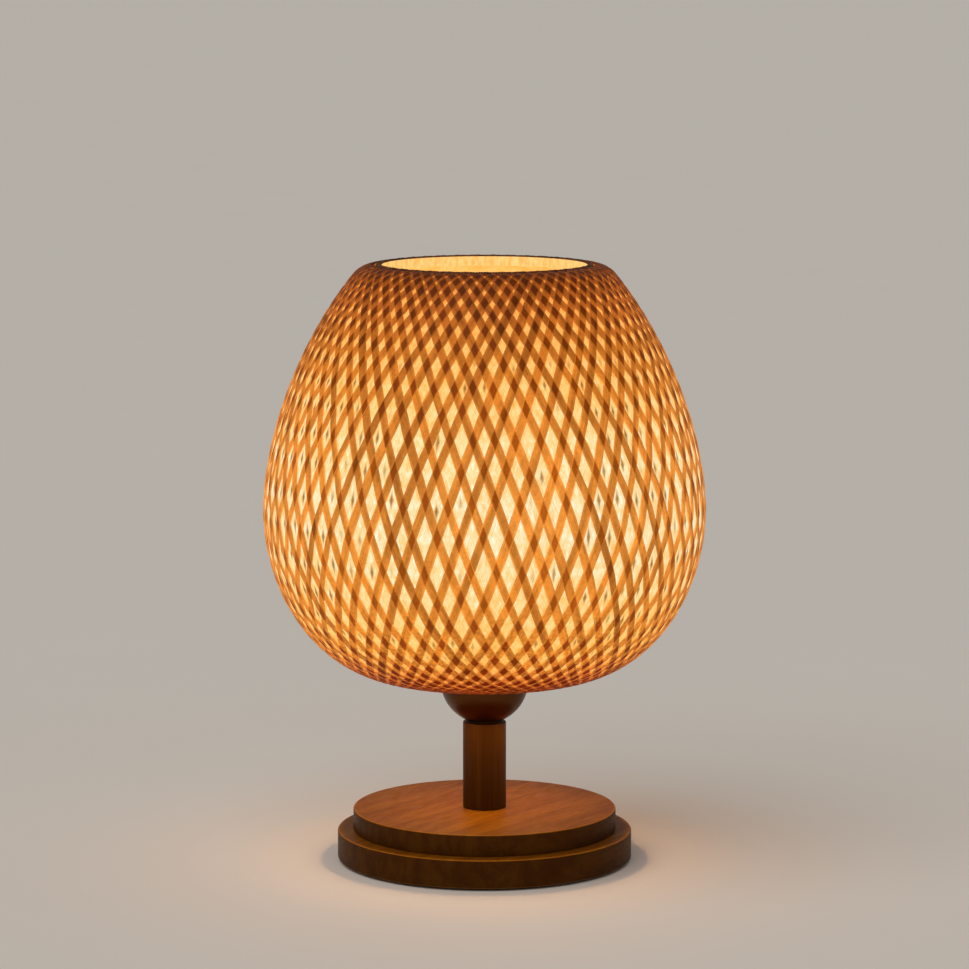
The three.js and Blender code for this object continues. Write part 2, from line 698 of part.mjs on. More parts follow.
// Ring that screws onto the skirt, its edge notched for the fingers.
function shadeRing() {
  const outer = hubInner + RING_WALL + RING_GRIP_DEPTH;
  const shape = new THREE.Shape();
  const steps = RING_GRIPS * 4;
  for (let step = 0; step < steps; step += 1) {
    const angle = (step * 2 * Math.PI) / steps;
    const radius = step % 4 < 2 ? outer : outer - RING_GRIP_DEPTH;
    const point = [radius * Math.cos(angle), radius * Math.sin(angle)];
    if (step === 0) {
      shape.moveTo(...point);
    } else {
      shape.lineTo(...point);
    }
  }
  shape.closePath();
  shape.holes.push(new THREE.Path().absarc(0, 0, hubInner, 0, 2 * Math.PI, true));
  return raised(shape, RING_HEIGHT);
}

const ringWasher = tube(hubInner, hubInner + RING_WASHER_WIDTH, RING_WASHER_THICKNESS, FACETS_MEDIUM);
add(shade, 'ring_washer', ringWasher, felt(), ringWasherBottom);
add(shade, 'shade_ring', shadeRing(), blackPhenolic(), ringBottom);

export default lamp;
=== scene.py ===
"""Looks of a table lamp: a woven bamboo shade with a paper liner, lit from inside, on a wooden base."""

import math

import bpy
import numpy as np
from bpy.props import FloatProperty, FloatVectorProperty, IntProperty, PointerProperty
from bpy.types import Operator, Panel, PropertyGroup
from mathutils import Matrix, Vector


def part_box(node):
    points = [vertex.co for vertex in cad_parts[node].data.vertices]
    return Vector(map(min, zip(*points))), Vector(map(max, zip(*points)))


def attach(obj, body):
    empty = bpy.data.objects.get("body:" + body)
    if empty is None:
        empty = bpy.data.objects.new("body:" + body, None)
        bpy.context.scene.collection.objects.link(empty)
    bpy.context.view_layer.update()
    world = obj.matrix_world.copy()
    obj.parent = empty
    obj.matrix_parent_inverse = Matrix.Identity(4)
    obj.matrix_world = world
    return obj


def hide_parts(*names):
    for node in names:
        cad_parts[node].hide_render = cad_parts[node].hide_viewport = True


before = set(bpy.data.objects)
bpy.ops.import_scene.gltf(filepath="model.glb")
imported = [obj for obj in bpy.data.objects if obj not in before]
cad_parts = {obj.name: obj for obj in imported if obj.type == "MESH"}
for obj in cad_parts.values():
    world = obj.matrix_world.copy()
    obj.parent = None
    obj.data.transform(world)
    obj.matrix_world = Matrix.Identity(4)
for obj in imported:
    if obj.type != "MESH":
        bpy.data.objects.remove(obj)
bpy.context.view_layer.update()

bl_info = {
    "name": "Woven Table Lamp",
    "version": (1, 0, 0),
    "blender": (4, 5, 0),
    "location": "View3D > Sidebar > Table Lamp",
    "description": "Makes the fine surfaces and finishes of a woven table lamp around its frame",
    "category": "Object",
}

MM = 0.001
TAU = 2 * math.pi
CLEARANCE = 0.3 * MM  # round anything that passes through or sits in a hole


# ---------------------------------------------------------------- places read from the frame

class Span:
    """The radius and the heights of a CAD node that is round about the lamp's axis."""

    def __init__(self, node):
        low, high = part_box(node)
        self.bottom = low.z
        self.top = high.z
        self.radius = (high.x - low.x) / 2
        self.height = high.z - low.z


def srgb(code):
    """Linear red, green and blue of a 0xRRGGBB colour code."""
    parts = [(code >> shift & 255) / 255 for shift in (16, 8, 0)]
    return tuple(p / 12.92 if p <= 0.04045 else ((p + 0.055) / 1.055) ** 2.4 for p in parts)


# ---------------------------------------------------------------- settings

def length(name, description, default):
    """A size in metres."""
    return FloatProperty(name=name, description=description, default=default, min=0, unit="LENGTH")


def amount(name, description, default, top=1000):
    """A plain number with no unit."""
    return FloatProperty(name=name, description=description, default=default, min=0, max=top)


def count(name, description, default):
    """A whole number of pieces or steps."""
    return IntProperty(name=name, description=description, default=default, min=1)


def colour(name, description, code):
    """A colour, given as a 0xRRGGBB code."""
    return FloatVectorProperty(name=name, description=description, default=srgb(code),
                               subtype="COLOR", size=3, min=0, max=1)


def angle(name, description, degrees):
    """An angle, given in degrees."""
    return FloatProperty(name=name, description=description, default=math.radians(degrees),
                         subtype="ANGLE", unit="ROTATION")


class ShadeSettings(PropertyGroup):
    """Outline and weave of the shade."""

    widest_height: length("Widest height", "Height of the widest circle above the lower edge", 88 * MM)
    dome_fullness: amount("Dome fullness", "2 is an ellipse and 1 is a cone", 1.7)
    rim_turn_in: length("Rim turn-in", "Width of the turned-in rim", 10.9 * MM)
    rim_height: length("Rim height", "Height of the turned-in rim", 4.5 * MM)
    hoop_gap: length("Gap at the hoops", "Between the weave and each hoop", 0.3 * MM)
    strip_count: count("Strips", "Bamboo strips leaning each way", 60)
    strip_width: length("Strip width", "Width of a bamboo strip", 4.5 * MM)
    strip_thickness: length("Strip thickness", "Thickness of a bamboo strip", 0.34 * MM)
    strip_depth: length("Strip depth", "Middle of the weave under the outline", 0.9 * MM)
    strip_wave: length("Strip wave", "Rise and fall of a strip over its neighbours", 0.26 * MM)
    cover: amount("Cover", "Largest share of the spacing that a strip fills in the open weave", 0.62, 1)
    edge_cover: amount("Cover at the hoops", "Share of the spacing that a strip fills there", 0.84, 1)
    liner_depth: length("Liner depth", "Outer face of the liner under the outline", 1.45 * MM)
    liner_thickness: length("Liner thickness", "Thickness of the paper liner", 0.8 * MM)


class GlowSettings(PropertyGroup):
    """Colours of the light that the shade gives through its paper and bamboo."""

    paper: colour("Paper", "Colour of the unlit liner", 0x94703E)
    bamboo: colour("Bamboo", "Colour of the unlit strips", 0x6E3E12)
    lamp: colour("Lamp light", "Colour of the light from the bulb", 0xFFC88A)
    under_power: FloatProperty(name="Light under the shade", default=0.24, min=0, unit="POWER",
                               description="Light that falls from the shade's lower opening")


class WoodSettings(PropertyGroup):
    """Colours and edges of the turned wood."""

    light: colour("Light grain", "Colour of the lighter grain", 0x8A560E)
    dark: colour("Dark grain", "Colour of the darker grain", 0x744208)
    disc_edge: length("Disc edge", "Radius of the edges of the base's discs", 0.8 * MM)
    post_edge: length("Post edge", "Radius of the post's edges", 0.6 * MM)
    grain_turn: angle("Grain direction", "Direction of the base's grain from the X axis", 54)


class StageSettings(PropertyGroup):
    """Floor, lights and camera."""

    floor_radius: length("Floor radius", "Radius of the floor", 60)
    floor: colour("Floor", "Colour of the floor", 0xE6E1DA)
    sky: amount("Sky light", "Strength of the light from all round", 0.3)
    backdrop: amount("Backdrop", "Brightness of the empty background", 0.47)
    key: amount("Key light", "Strength of the soft light from above", 1.1)
    key_softness: angle("Key softness", "Angle that the key light spreads over", 60)
    camera_distance: length("Camera distance", "From the lamp's axis to the camera", 2.016)
    camera_height: length("Camera height", "Height of the camera", 0.4706)
    camera_tilt: FloatProperty(name="Camera tilt", description="Downward tilt of the camera",
                               default=0.137, subtype="ANGLE", unit="ROTATION")
    lens: FloatProperty(name="Lens", description="Focal length of the lens", default=149.5,
                        unit="CAMERA", min=1)


class LampSettings(PropertyGroup):
    """All settings of the lamp."""

    shade: PointerProperty(type=ShadeSettings, name="Shade", description="Outline and weave")
    glow: PointerProperty(type=GlowSettings, name="Glow", description="Light through the shade")
    wood: PointerProperty(type=WoodSettings, name="Wood", description="Turned wood")
    stage: PointerProperty(type=StageSettings, name="Stage", description="Floor, lights and camera")


# ---------------------------------------------------------------- surfaces

def make_piece(name, points, faces, body, replaced=(), maps=None, values=None, smooth_to=35):
    """A mesh object that rides on a body.

    faces is a list of whole-number arrays, each with one row of corner indices for each face.
    maps holds UV maps, one pair for each face corner in the order of the faces. values holds one
    number for each point. Edges sharper than smooth_to degrees stay sharp."""
    mesh = bpy.data.meshes.new(name)
    corners = np.concatenate([block.ravel() for block in faces]).astype(np.int32)
    sizes = np.concatenate([np.full(len(block), block.shape[1]) for block in faces])
    starts = np.concatenate([[0], np.cumsum(sizes)[:-1]]).astype(np.int32)
    mesh.vertices.add(len(points))
    mesh.vertices.foreach_set("co", points.astype(np.float32).ravel())
    mesh.loops.add(len(corners))
    mesh.loops.foreach_set("vertex_index", corners)
    mesh.polygons.add(len(sizes))
    mesh.polygons.foreach_set("loop_start", starts)
    for map_name, pairs in (maps or {}).items():
        layer = mesh.uv_layers.new(name=map_name)
        layer.data.foreach_set("uv", pairs.astype(np.float32).ravel())
    for value_name, numbers in (values or {}).items():
        attribute = mesh.attributes.new(value_name, "FLOAT", "POINT")
        attribute.data.foreach_set("value", numbers.astype(np.float32).ravel())
    mesh.update(calc_edges=True)
    mesh.shade_smooth()
    mesh.set_sharp_from_angle(angle=math.radians(smooth_to))
    piece = bpy.data.objects.new(name, mesh)
    bpy.context.scene.collection.objects.link(piece)
    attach(piece, body)
    if replaced:
        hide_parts(*replaced)
    return piece


def grid_faces(rows, columns, close_rows, close_columns):
    """Corner indices of a grid's four-sided faces, and each corner's row and column unwrapped."""
    row_steps = rows if close_rows else rows - 1
    column_steps = columns if close_columns else columns - 1
    row, column = np.meshgrid(np.arange(row_steps), np.arange(column_steps), indexing="ij")
    rows_at = np.stack([row, row, row + 1, row + 1], -1).reshape(-1, 4)
    columns_at = np.stack([column, column + 1, column + 1, column], -1).reshape(-1, 4)
    return (rows_at % rows) * columns + columns_at % columns, rows_at, columns_at


def turned(name, profile, around, body, replaced=(), closed=True, shape=None):
    """A body turned about Z: each [radius, height] of the profile is carried round a full circle.

    The profile runs counter-clockwise. A closed one joins its last point to its first; an open one
    starts and ends on the axis, where each row of points is one point. shape takes the radius,
    height and angle arrays and gives the radius and height arrays to use, for threads and grips."""
    radius, height = np.asarray(profile, float).T[:, :, None] * np.ones(around)
    turn = np.ones((len(profile), 1)) * np.arange(around) * TAU / around
    if shape:
        radius, height = shape(radius, height, turn)
    points = np.stack([radius * np.cos(turn), radius * np.sin(turn), height], -1)
    faces, rows_at, columns_at = grid_faces(len(profile), around, closed, True)
    run = np.concatenate([[0], np.cumsum(np.linalg.norm(np.diff(profile, axis=0), axis=1))])
    run = np.append(run, run[-1] * 1.02)
    pairs = np.stack([columns_at / around, run[rows_at] / run[-1]], -1)
    blocks = [faces]
    if not closed:
        last = len(profile) - 1
        first_pole = rows_at[:, 0] == 0
        last_pole = rows_at[:, 2] == last
        foot = faces[first_pole][:, [0, 2, 3]]
        foot[:, 0] = 0
        head = faces[last_pole][:, [0, 1, 2]]
        head[:, 2] = last * around
        middle = ~(first_pole | last_pole)
        blocks = [faces[middle], foot, head]
        pairs = np.concatenate([
            pairs[middle].reshape(-1, 2),
            pairs[first_pole][:, [0, 2, 3]].reshape(-1, 2),
            pairs[last_pole][:, [0, 1, 2]].reshape(-1, 2),
        ])
        keep = np.ones(points.shape[:2], bool)
        keep[0, 1:] = False
        keep[last, 1:] = False
        new_index = np.cumsum(keep.ravel()) - 1
        blocks = [new_index[block] for block in blocks]
        points = points[keep]
    return make_piece(name, points.reshape(-1, 3), blocks, body, replaced,
                      maps={"Wrap": pairs})


def bend(centre_radius, centre_height, size, start, end, steps=6):
    """Points of an arc from a start to an end angle in degrees, as [radius, height] rows."""
    turn = np.radians(np.linspace(start, end, steps + 1))
    return np.stack([centre_radius + size * np.cos(turn), centre_height + size * np.sin(turn)], -1)


def ring_profile(inner, outer, bottom, top, edge, steps=6):
    """Outline of a ring with a square bore and rounded outer edges."""
    return np.concatenate([
        [[inner, bottom]],
        bend(outer - edge, bottom + edge, edge, -90, 0, steps),
        bend(outer - edge, top - edge, edge, 0, 90, steps),
        [[inner, top]],
    ])


def rounded_ring_profile(inner, outer, bottom, top, edge, steps=6):
    """Outline of a ring with all four edges rounded."""
    return np.concatenate([
        bend(outer - edge, bottom + edge, edge, -90, 0, steps),
        bend(outer - edge, top - edge, edge, 0, 90, steps),
        bend(inner + edge, top - edge, edge, 90, 180, steps),
        bend(inner + edge, bottom + edge, edge, 180, 270, steps),
    ])


# ---------------------------------------------------------------- finishes

class Finish:
    """A material with one Principled shader, and short calls that add the nodes that feed it.

    plain holds values that are the same all over; an underscore in a name stands for a space."""

    def __init__(self, name, roughness=0.5, metallic=0.0, **plain):
        self.material = bpy.data.materials.new(name)
        self.material.use_nodes = True
        self.tree = self.material.node_tree
        self.shader = self.tree.nodes["Principled BSDF"]
        self.shader.inputs["Roughness"].default_value = roughness
        self.shader.inputs["Metallic"].default_value = metallic
        for socket, value in plain.items():
            self.shader.inputs[socket.replace("_", " ")].default_value = value

    def add(self, kind, inputs, output=0, **settings):
        """A node with its settings; each input is another node's output or a plain value."""
        node = self.tree.nodes.new(kind)
        for name, value in settings.items():
            setattr(node, name, value)
        for key, value in inputs.items():
            if isinstance(value, bpy.types.NodeSocket):
                self.tree.links.new(value, node.inputs[key])
            else:
                node.inputs[key].default_value = value
        return node.outputs[output]

    def feed(self, name, value):
        """Links a node's output to one of the shader's inputs."""
        self.tree.links.new(value, self.shader.inputs[name])

    def place(self, scale=(1, 1, 1), turn=(0, 0, 0), shift=(0, 0, 0)):
        """Object coordinates, first turned, then stretched and shifted."""
        where = self.add("ShaderNodeTexCoord", {}, "Object")
        turned_round = self.add("ShaderNodeMapping", {"Vector": where, "Rotation": turn})
        return self.add("ShaderNodeMapping", {"Vector": turned_round, "Location": shift, "Scale": scale})

    def height(self, bottom, top):
        """Height on the lamp, from 0 at the bottom to 1 at the top."""
        where = self.add("ShaderNodeTexCoord", {}, "Object")
        inputs = {"Value": self.part(where, "Z"), "From Min": bottom, "From Max": top}
        return self.add("ShaderNodeMapRange", inputs)

    def noise(self, vector, scale, detail=4.0, roughness=0.55, distortion=0.0):
        """Smooth noise from 0 to 1."""
        inputs = {"Vector": vector, "Scale": scale, "Detail": detail, "Roughness": roughness,
                  "Distortion": distortion}
        return self.add("ShaderNodeTexNoise", inputs, "Fac")

    def maths(self, operation, a, b=0.0, c=0.0, clamp=False):
        """One step of arithmetic; c is what MULTIPLY_ADD adds."""
        return self.add("ShaderNodeMath", {0: a, 1: b, 2: c}, operation=operation, use_clamp=clamp)

    def vector(self, operation, a, b=(0, 0, 0)):
        """One step of arithmetic on vectors."""
        return self.add("ShaderNodeVectorMath", {0: a, 1: b}, operation=operation)

    def part(self, vector, axis):
        """One of a vector's three numbers."""
        return self.add("ShaderNodeSeparateXYZ", {0: vector}, axis)

    def between(self, value, low, high, start=0.0, end=1.0):
        """Runs smoothly from start to end while the value goes from low to high."""
        inputs = {"Value": value, "From Min": low, "From Max": high, "To Min": start, "To Max": end}
        return self.add("ShaderNodeMapRange", inputs, interpolation_type="SMOOTHSTEP")

    def ramp(self, value, stops):
        """A run of colours: each stop is a place from 0 to 1 and a linear colour."""
        result = self.add("ShaderNodeValToRGB", {0: value})
        elements = result.node.color_ramp.elements
        while len(elements) < len(stops):
            elements.new(1)
        for element, (place, shade) in zip(elements, stops):
            element.position = place
            element.color = (*shade, 1)
        return result

    def mix(self, factor, a, b, blend="MIX"):
        """Two colours mixed; a plain colour is given as three numbers."""
        a, b = [(*x, 1) if isinstance(x, tuple) and len(x) == 3 else x for x in (a, b)]
        inputs = {0: factor, 6: a, 7: b}
        return self.add("ShaderNodeMix", inputs, 2, data_type="RGBA", blend_type=blend)

    def tinted(self, share, shade, tint):
        """A colour of which a share is multiplied by a tint."""
        return self.mix(share, shade, self.mix(1.0, shade, tint, "MULTIPLY"))

    def bump(self, relief, distance):
        """Fine relief: distance is its depth in metres."""
        inputs = {"Height": relief, "Distance": distance, "Strength": 1.0}
        self.feed("Normal", self.add("ShaderNodeBump", inputs))


def scaled(shade, by):
    """A colour made brighter or darker."""
    return tuple(part * by for part in shade)


def put(material, *pieces):
    """Gives pieces a material in place of the one they have."""
    for piece in pieces:
        piece.data.materials.clear()
        piece.data.materials.append(material)


def nodes_named(*names):
    """CAD nodes that are shown as they are."""
    return [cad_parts[name] for name in names]


# ---------------------------------------------------------------- shade outline and weave

class Outline:
    """The shade's outline from the lower hoop to the upper one, and the twist of its strips.

    The bowl is a quarter ellipse, the dome a superellipse and the rim a parabola. The lean of a
    strip from upright grows as the shade narrows: its tangent is a share times a power of the
    widest radius over the radius. Twist is the integral of tangent over radius along the outline,
    and is 0 at the meeting height. Near the hoops the strips fill more of their spacing: the extra
    cover falls off as the exponential of minus the distance over a reach."""

    STEPS = 3000
    BOWL_LEAN, BOWL_POWER = 0.355, 1.9
    DOME_LEAN, DOME_POWER = 0.345, 1.15
    MEETING_HEIGHT = 213 * MM
    LOW_REACH, HIGH_REACH = 14 * MM, 16 * MM

    def __init__(self, settings):
        weave, low_hoop, high_hoop = Span("woven_shade"), Span("bottom_hoop"), Span("top_hoop")
        self.widest = weave.radius
        self.bottom, self.top = weave.bottom, weave.top
        self.pitch = TAU / settings.strip_count
        start = low_hoop.radius + settings.hoop_gap
        end = high_hoop.radius + settings.hoop_gap
        shoulder = end + settings.rim_turn_in
        rise = self.top - self.bottom - settings.rim_height - settings.widest_height
        power = settings.dome_fullness
        reach = rise / (1 - (shoulder / self.widest) ** power) ** (1 / power)
        turn = np.linspace(0, math.pi / 2, self.STEPS // 3, endpoint=False)
        lift = np.linspace(0, rise, self.STEPS // 2, endpoint=False)
        along = np.linspace(0, 1, self.STEPS // 6)
        bowl = [start + (self.widest - start) * np.sin(turn), settings.widest_height * (1 - np.cos(turn))]
        dome = [self.widest * (1 - (lift / reach) ** power) ** (1 / power), settings.widest_height + lift]
        corner = shoulder - settings.rim_height
        rim = [
            (1 - along) ** 2 * shoulder + 2 * along * (1 - along) * corner + along ** 2 * end,
            settings.widest_height + rise + settings.rim_height * along * (2 - along),
        ]
        self.radius = np.concatenate([bowl[0], dome[0], rim[0]])
        self.height = self.bottom + np.concatenate([bowl[1], dome[1], rim[1]])
        steps = np.hypot(np.diff(self.radius), np.diff(self.height))
        self.run = np.concatenate([[0], np.cumsum(steps)])
        across = np.gradient(self.radius, self.run)
        upward = np.gradient(self.height, self.run)
        size = np.hypot(across, upward)
        self.normal = np.stack([upward / size, -across / size], -1)
        ratio = self.widest / self.radius
        in_bowl = self.height < self.bottom + settings.widest_height
        self.lean = np.arctan(np.where(in_bowl, self.BOWL_LEAN * ratio ** self.BOWL_POWER,
                                       self.DOME_LEAN * ratio ** self.DOME_POWER))
        rate = np.tan(self.lean) / self.radius
        twist = np.concatenate([[0], np.cumsum((rate[1:] + rate[:-1]) / 2 * steps)])
        self.twist = twist - np.interp(self.MEETING_HEIGHT, self.height, twist)
        spacing = self.radius * self.pitch * np.cos(self.lean)
        near_ends = np.maximum(np.exp((self.bottom - self.height) / self.LOW_REACH),
                               np.exp((self.height - self.top) / self.HIGH_REACH))
        cover = settings.cover + (settings.edge_cover - settings.cover) * near_ends
        self.width = np.minimum(settings.strip_width, cover * spacing)
        self.half_band = self.width / 2 / spacing

    def at(self, run, values):
        """Values along the outline, at distances run along it."""
        return np.interp(run, self.run, values)

    def inside(self, run, depth):
        """Radius and height of points a depth under the outline."""
        return (self.at(run, self.radius) - depth * self.at(run, self.normal[:, 0]),
                self.at(run, self.height) - depth * self.at(run, self.normal[:, 1]))

    def samples(self, start, end, length_step, twist_step):
        """Distances along the outline, closer where strips lean or cross more often."""
        measure = np.maximum(np.gradient(self.run) / np.cos(self.lean) / length_step,
                             np.gradient(self.twist) / twist_step)
        total = np.cumsum(measure)
        first, last = np.interp([start, end], self.run, total)
        return np.interp(np.linspace(first, last, int(last - first) + 1), total, self.run)


class Drift:
    """How far each strip of a family strays sideways, as an angle: a fixed part and a slow wave.

    Both parts are shares of the pitch, the angle between neighbours. The wave is a sine of the
    distance along the outline, with its own phase and rate for each strip."""

    FIXED_SHARE = 0.05
    WAVE_SHARE = 0.045

    def __init__(self, seed, number, pitch):
        random = np.random.default_rng(seed)
        self.fixed = random.normal(0, self.FIXED_SHARE, number) * pitch
        self.phase = random.uniform(0, TAU, number)
        self.waves = random.uniform(12, 30, number)
        self.size = self.WAVE_SHARE * pitch
        self.number = number

    def at(self, index, run):
        """The stray of the strips with these numbers at distances run along the outline."""
        index = np.asarray(index, int) % self.number
        return self.fixed[index] + self.size * np.sin(self.phase[index] + run * self.waves[index])


def section(corners=8):
    """Points round a flat strip's section, from -1 to 1 across and through: a squared-off circle."""
    turn = (np.arange(corners) + 0.5) * TAU / corners
    across, through = np.cos(turn), np.sin(turn)
    return np.sign(across) * np.abs(across) ** 0.45, np.sign(through) * np.abs(through) ** 0.6


def weave_strips(name, way, outline, settings, own, other, replaced):
    """All strips that lean one way, way = 1 or -1, as one piece of closed flat strips.

    A strip's middle line turns by the outline's twist times its way, plus its own stray. Its
    section is carried across it in the surface, and the strip rises and falls as a flattened
    cosine, half a wave for each strip it crosses. Its breadth varies a little, by a draw for each
    strip and a slow sine. Lattice coordinates are the strip's own number and the crossed strip's
    number, whole at the middle of a strip. On the OFBake map each strip has its own row."""
    low_gap, high_gap, longest_step = 0.8 * MM, 1.2 * MM, 3.4 * MM
    steps_for_each_crossing = 7
    dark_share, dark_tone = 0.16, 0.5
    flattening = 0.12
    random = np.random.default_rng(7 if way > 0 else 8)
    number = settings.strip_count
    run = outline.samples(low_gap, outline.run[-1] - high_gap, longest_step,
                          outline.pitch / steps_for_each_crossing)
    index = np.arange(number)
    across, through = section()
    lean = outline.at(run, outline.lean)
    twist = outline.at(run, outline.twist)
    width = outline.at(run, outline.width)
    beat = random.uniform(0, TAU, number)
    breadth = random.uniform(0.88, 1.1, number)[:, None]
    breadth = breadth * (1 + 0.05 * np.sin(beat[:, None] + run * 38))
    half = (width * breadth / 2)[:, :, None] * across
    sideways = index[:, None] * outline.pitch + own.at(index[:, None], run[None, :])
    run_at = run[None, :, None] - way * half * np.sin(lean)[:, None]
    turn_for_width = np.cos(lean) / outline.at(run, outline.radius)
    turn = (way * twist + sideways)[:, :, None] + half * turn_for_width[:, None]
    wave = np.cos(way * math.pi * 2 * twist / outline.pitch)
    wave = way * wave / np.sqrt(wave ** 2 + flattening)
    lift = wave[None, :, None] * settings.strip_wave + through * settings.strip_thickness / 2
    radius, height = outline.inside(run_at, settings.strip_depth - lift)
    points = np.stack([radius * np.cos(turn), radius * np.sin(turn), height], -1)

    twist_at = outline.at(run_at, outline.twist)
    own_number = (turn - way * twist_at) / outline.pitch
    crossed = (turn + way * twist_at) / outline.pitch
    crossed = crossed - other.at(np.rint(crossed), run_at) / outline.pitch
    rows, columns = len(run), len(across)
    faces, rows_at, columns_at = grid_faces(rows, columns, False, True)
    faces, rows_at, columns_at = faces[:, ::-1], rows_at[:, ::-1], columns_at[:, ::-1]
    offsets = index[:, None, None] * rows * columns
    sides = (faces[None] + offsets).reshape(-1, 4)
    loop = np.arange(columns)
    ends = np.stack([loop, (rows - 1) * columns + loop[::-1]])
    ends = (ends[None] + offsets).reshape(-1, columns)

    lattice = np.stack([own_number, crossed], -1).reshape(-1, 2)
    corners = np.concatenate([sides.ravel(), ends.ravel()])
    around = np.broadcast_to(columns_at[None] / columns, (number, *columns_at.shape))
    along = np.broadcast_to(run[rows_at][None] / run[-1], (number, *rows_at.shape))
    strip = index[:, None, None] + 0 * around
    bake_sides = np.stack([along * 0.98 + 0.01, (strip + 0.05 + 0.8 * around) / number], -1)
    end_place = np.stack([np.tile([[0.004], [0.996]], (number, 1)) * np.ones(columns),
                          np.repeat(index, 2)[:, None] / number + 0.012 * (loop / columns)[None, :]], -1)
    maps = {
        "Lattice": lattice[corners],
        "OFBake": np.concatenate([bake_sides.reshape(-1, 2), end_place.reshape(-1, 2)]),
    }
    tone = np.where(random.random(number) < dark_share, dark_tone, 1.0)
    tone = tone * random.uniform(0.75, 1.0, number)
    values = {
        "tone": np.broadcast_to(tone[:, None, None], radius.shape),
        "band": np.broadcast_to(outline.at(run_at, outline.half_band), radius.shape),
        "edge": np.broadcast_to(across[None, None, :], radius.shape),
    }
    return make_piece(name, points.reshape(-1, 3), [sides, ends], "shade", replaced,
                      maps=maps, values=values, smooth_to=60)


def liner_shell(outline, settings):
    """The paper liner: a closed shell of revolution between two depths under the outline.

    Gives the piece, and for each face 1 on the inside and 0 elsewhere. The lattice coordinates
    are the angle less and plus the outline's twist, counted in pitches, as on the strips."""
    around = 180
    longest_step = 2.6 * MM
    run = outline.samples(0, outline.run[-1], longest_step, 1)
    outer = np.stack(outline.inside(run, settings.liner_depth), -1)
    inner = np.stack(outline.inside(run, settings.liner_depth + settings.liner_thickness), -1)[::-1]
    profile = np.concatenate([outer, inner])
    rows = len(profile)
    turn = np.arange(around) * TAU / around
    points = np.stack([profile[:, :1] * np.cos(turn), profile[:, :1] * np.sin(turn),
                       profile[:, 1:] + 0 * turn], -1)
    faces, rows_at, columns_at = grid_faces(rows, around, True, True)
    both_ways = np.concatenate([run, run[::-1]])[rows_at % rows]
    turn_at = columns_at * TAU / around
    twist_at = outline.at(both_ways, outline.twist)
    lattice = np.stack([turn_at - twist_at, turn_at + twist_at], -1) / outline.pitch
    side = (rows_at % rows >= len(run)) * 0.5
    bake = np.stack([columns_at / around * 0.99 + 0.005,
                     side + 0.01 + 0.48 * both_ways / run[-1]], -1)
    band = np.concatenate([run, run[::-1]])
    values = {"band": np.repeat(outline.at(band, outline.half_band), around)}
    piece = make_piece("paper_liner", points.reshape(-1, 3), [faces], "shade",
                       ["shade_liner"], maps={"Lattice": lattice, "OFBake": bake}, values=values)
    inside = (rows_at.min(1) >= len(run)).astype(np.int32)
    return piece, inside


def height_stops(outline, stops):
    """Ramp stops from heights in millimetres above the base and 0xRRGGBB codes."""
    whole = outline.top - outline.bottom
    return [((height * MM - outline.bottom) / whole, srgb(code)) for height, code in stops]


def lattice_offset(finish, lattice, axis, shift=0.0):
    """Place along one lattice coordinate, from the nearest strip's middle, -0.5 to 0.5."""
    value = finish.maths("ADD", finish.part(lattice, axis), 0.5 + shift)
    return finish.maths("SUBTRACT", finish.maths("FRACT", value), 0.5)


def lattice_distance(finish, lattice, axis, shift=0.0):
    """Distance from the nearest strip's middle along one lattice coordinate, 0 to 0.5."""
    return finish.maths("ABSOLUTE", lattice_offset(finish, lattice, axis, shift))


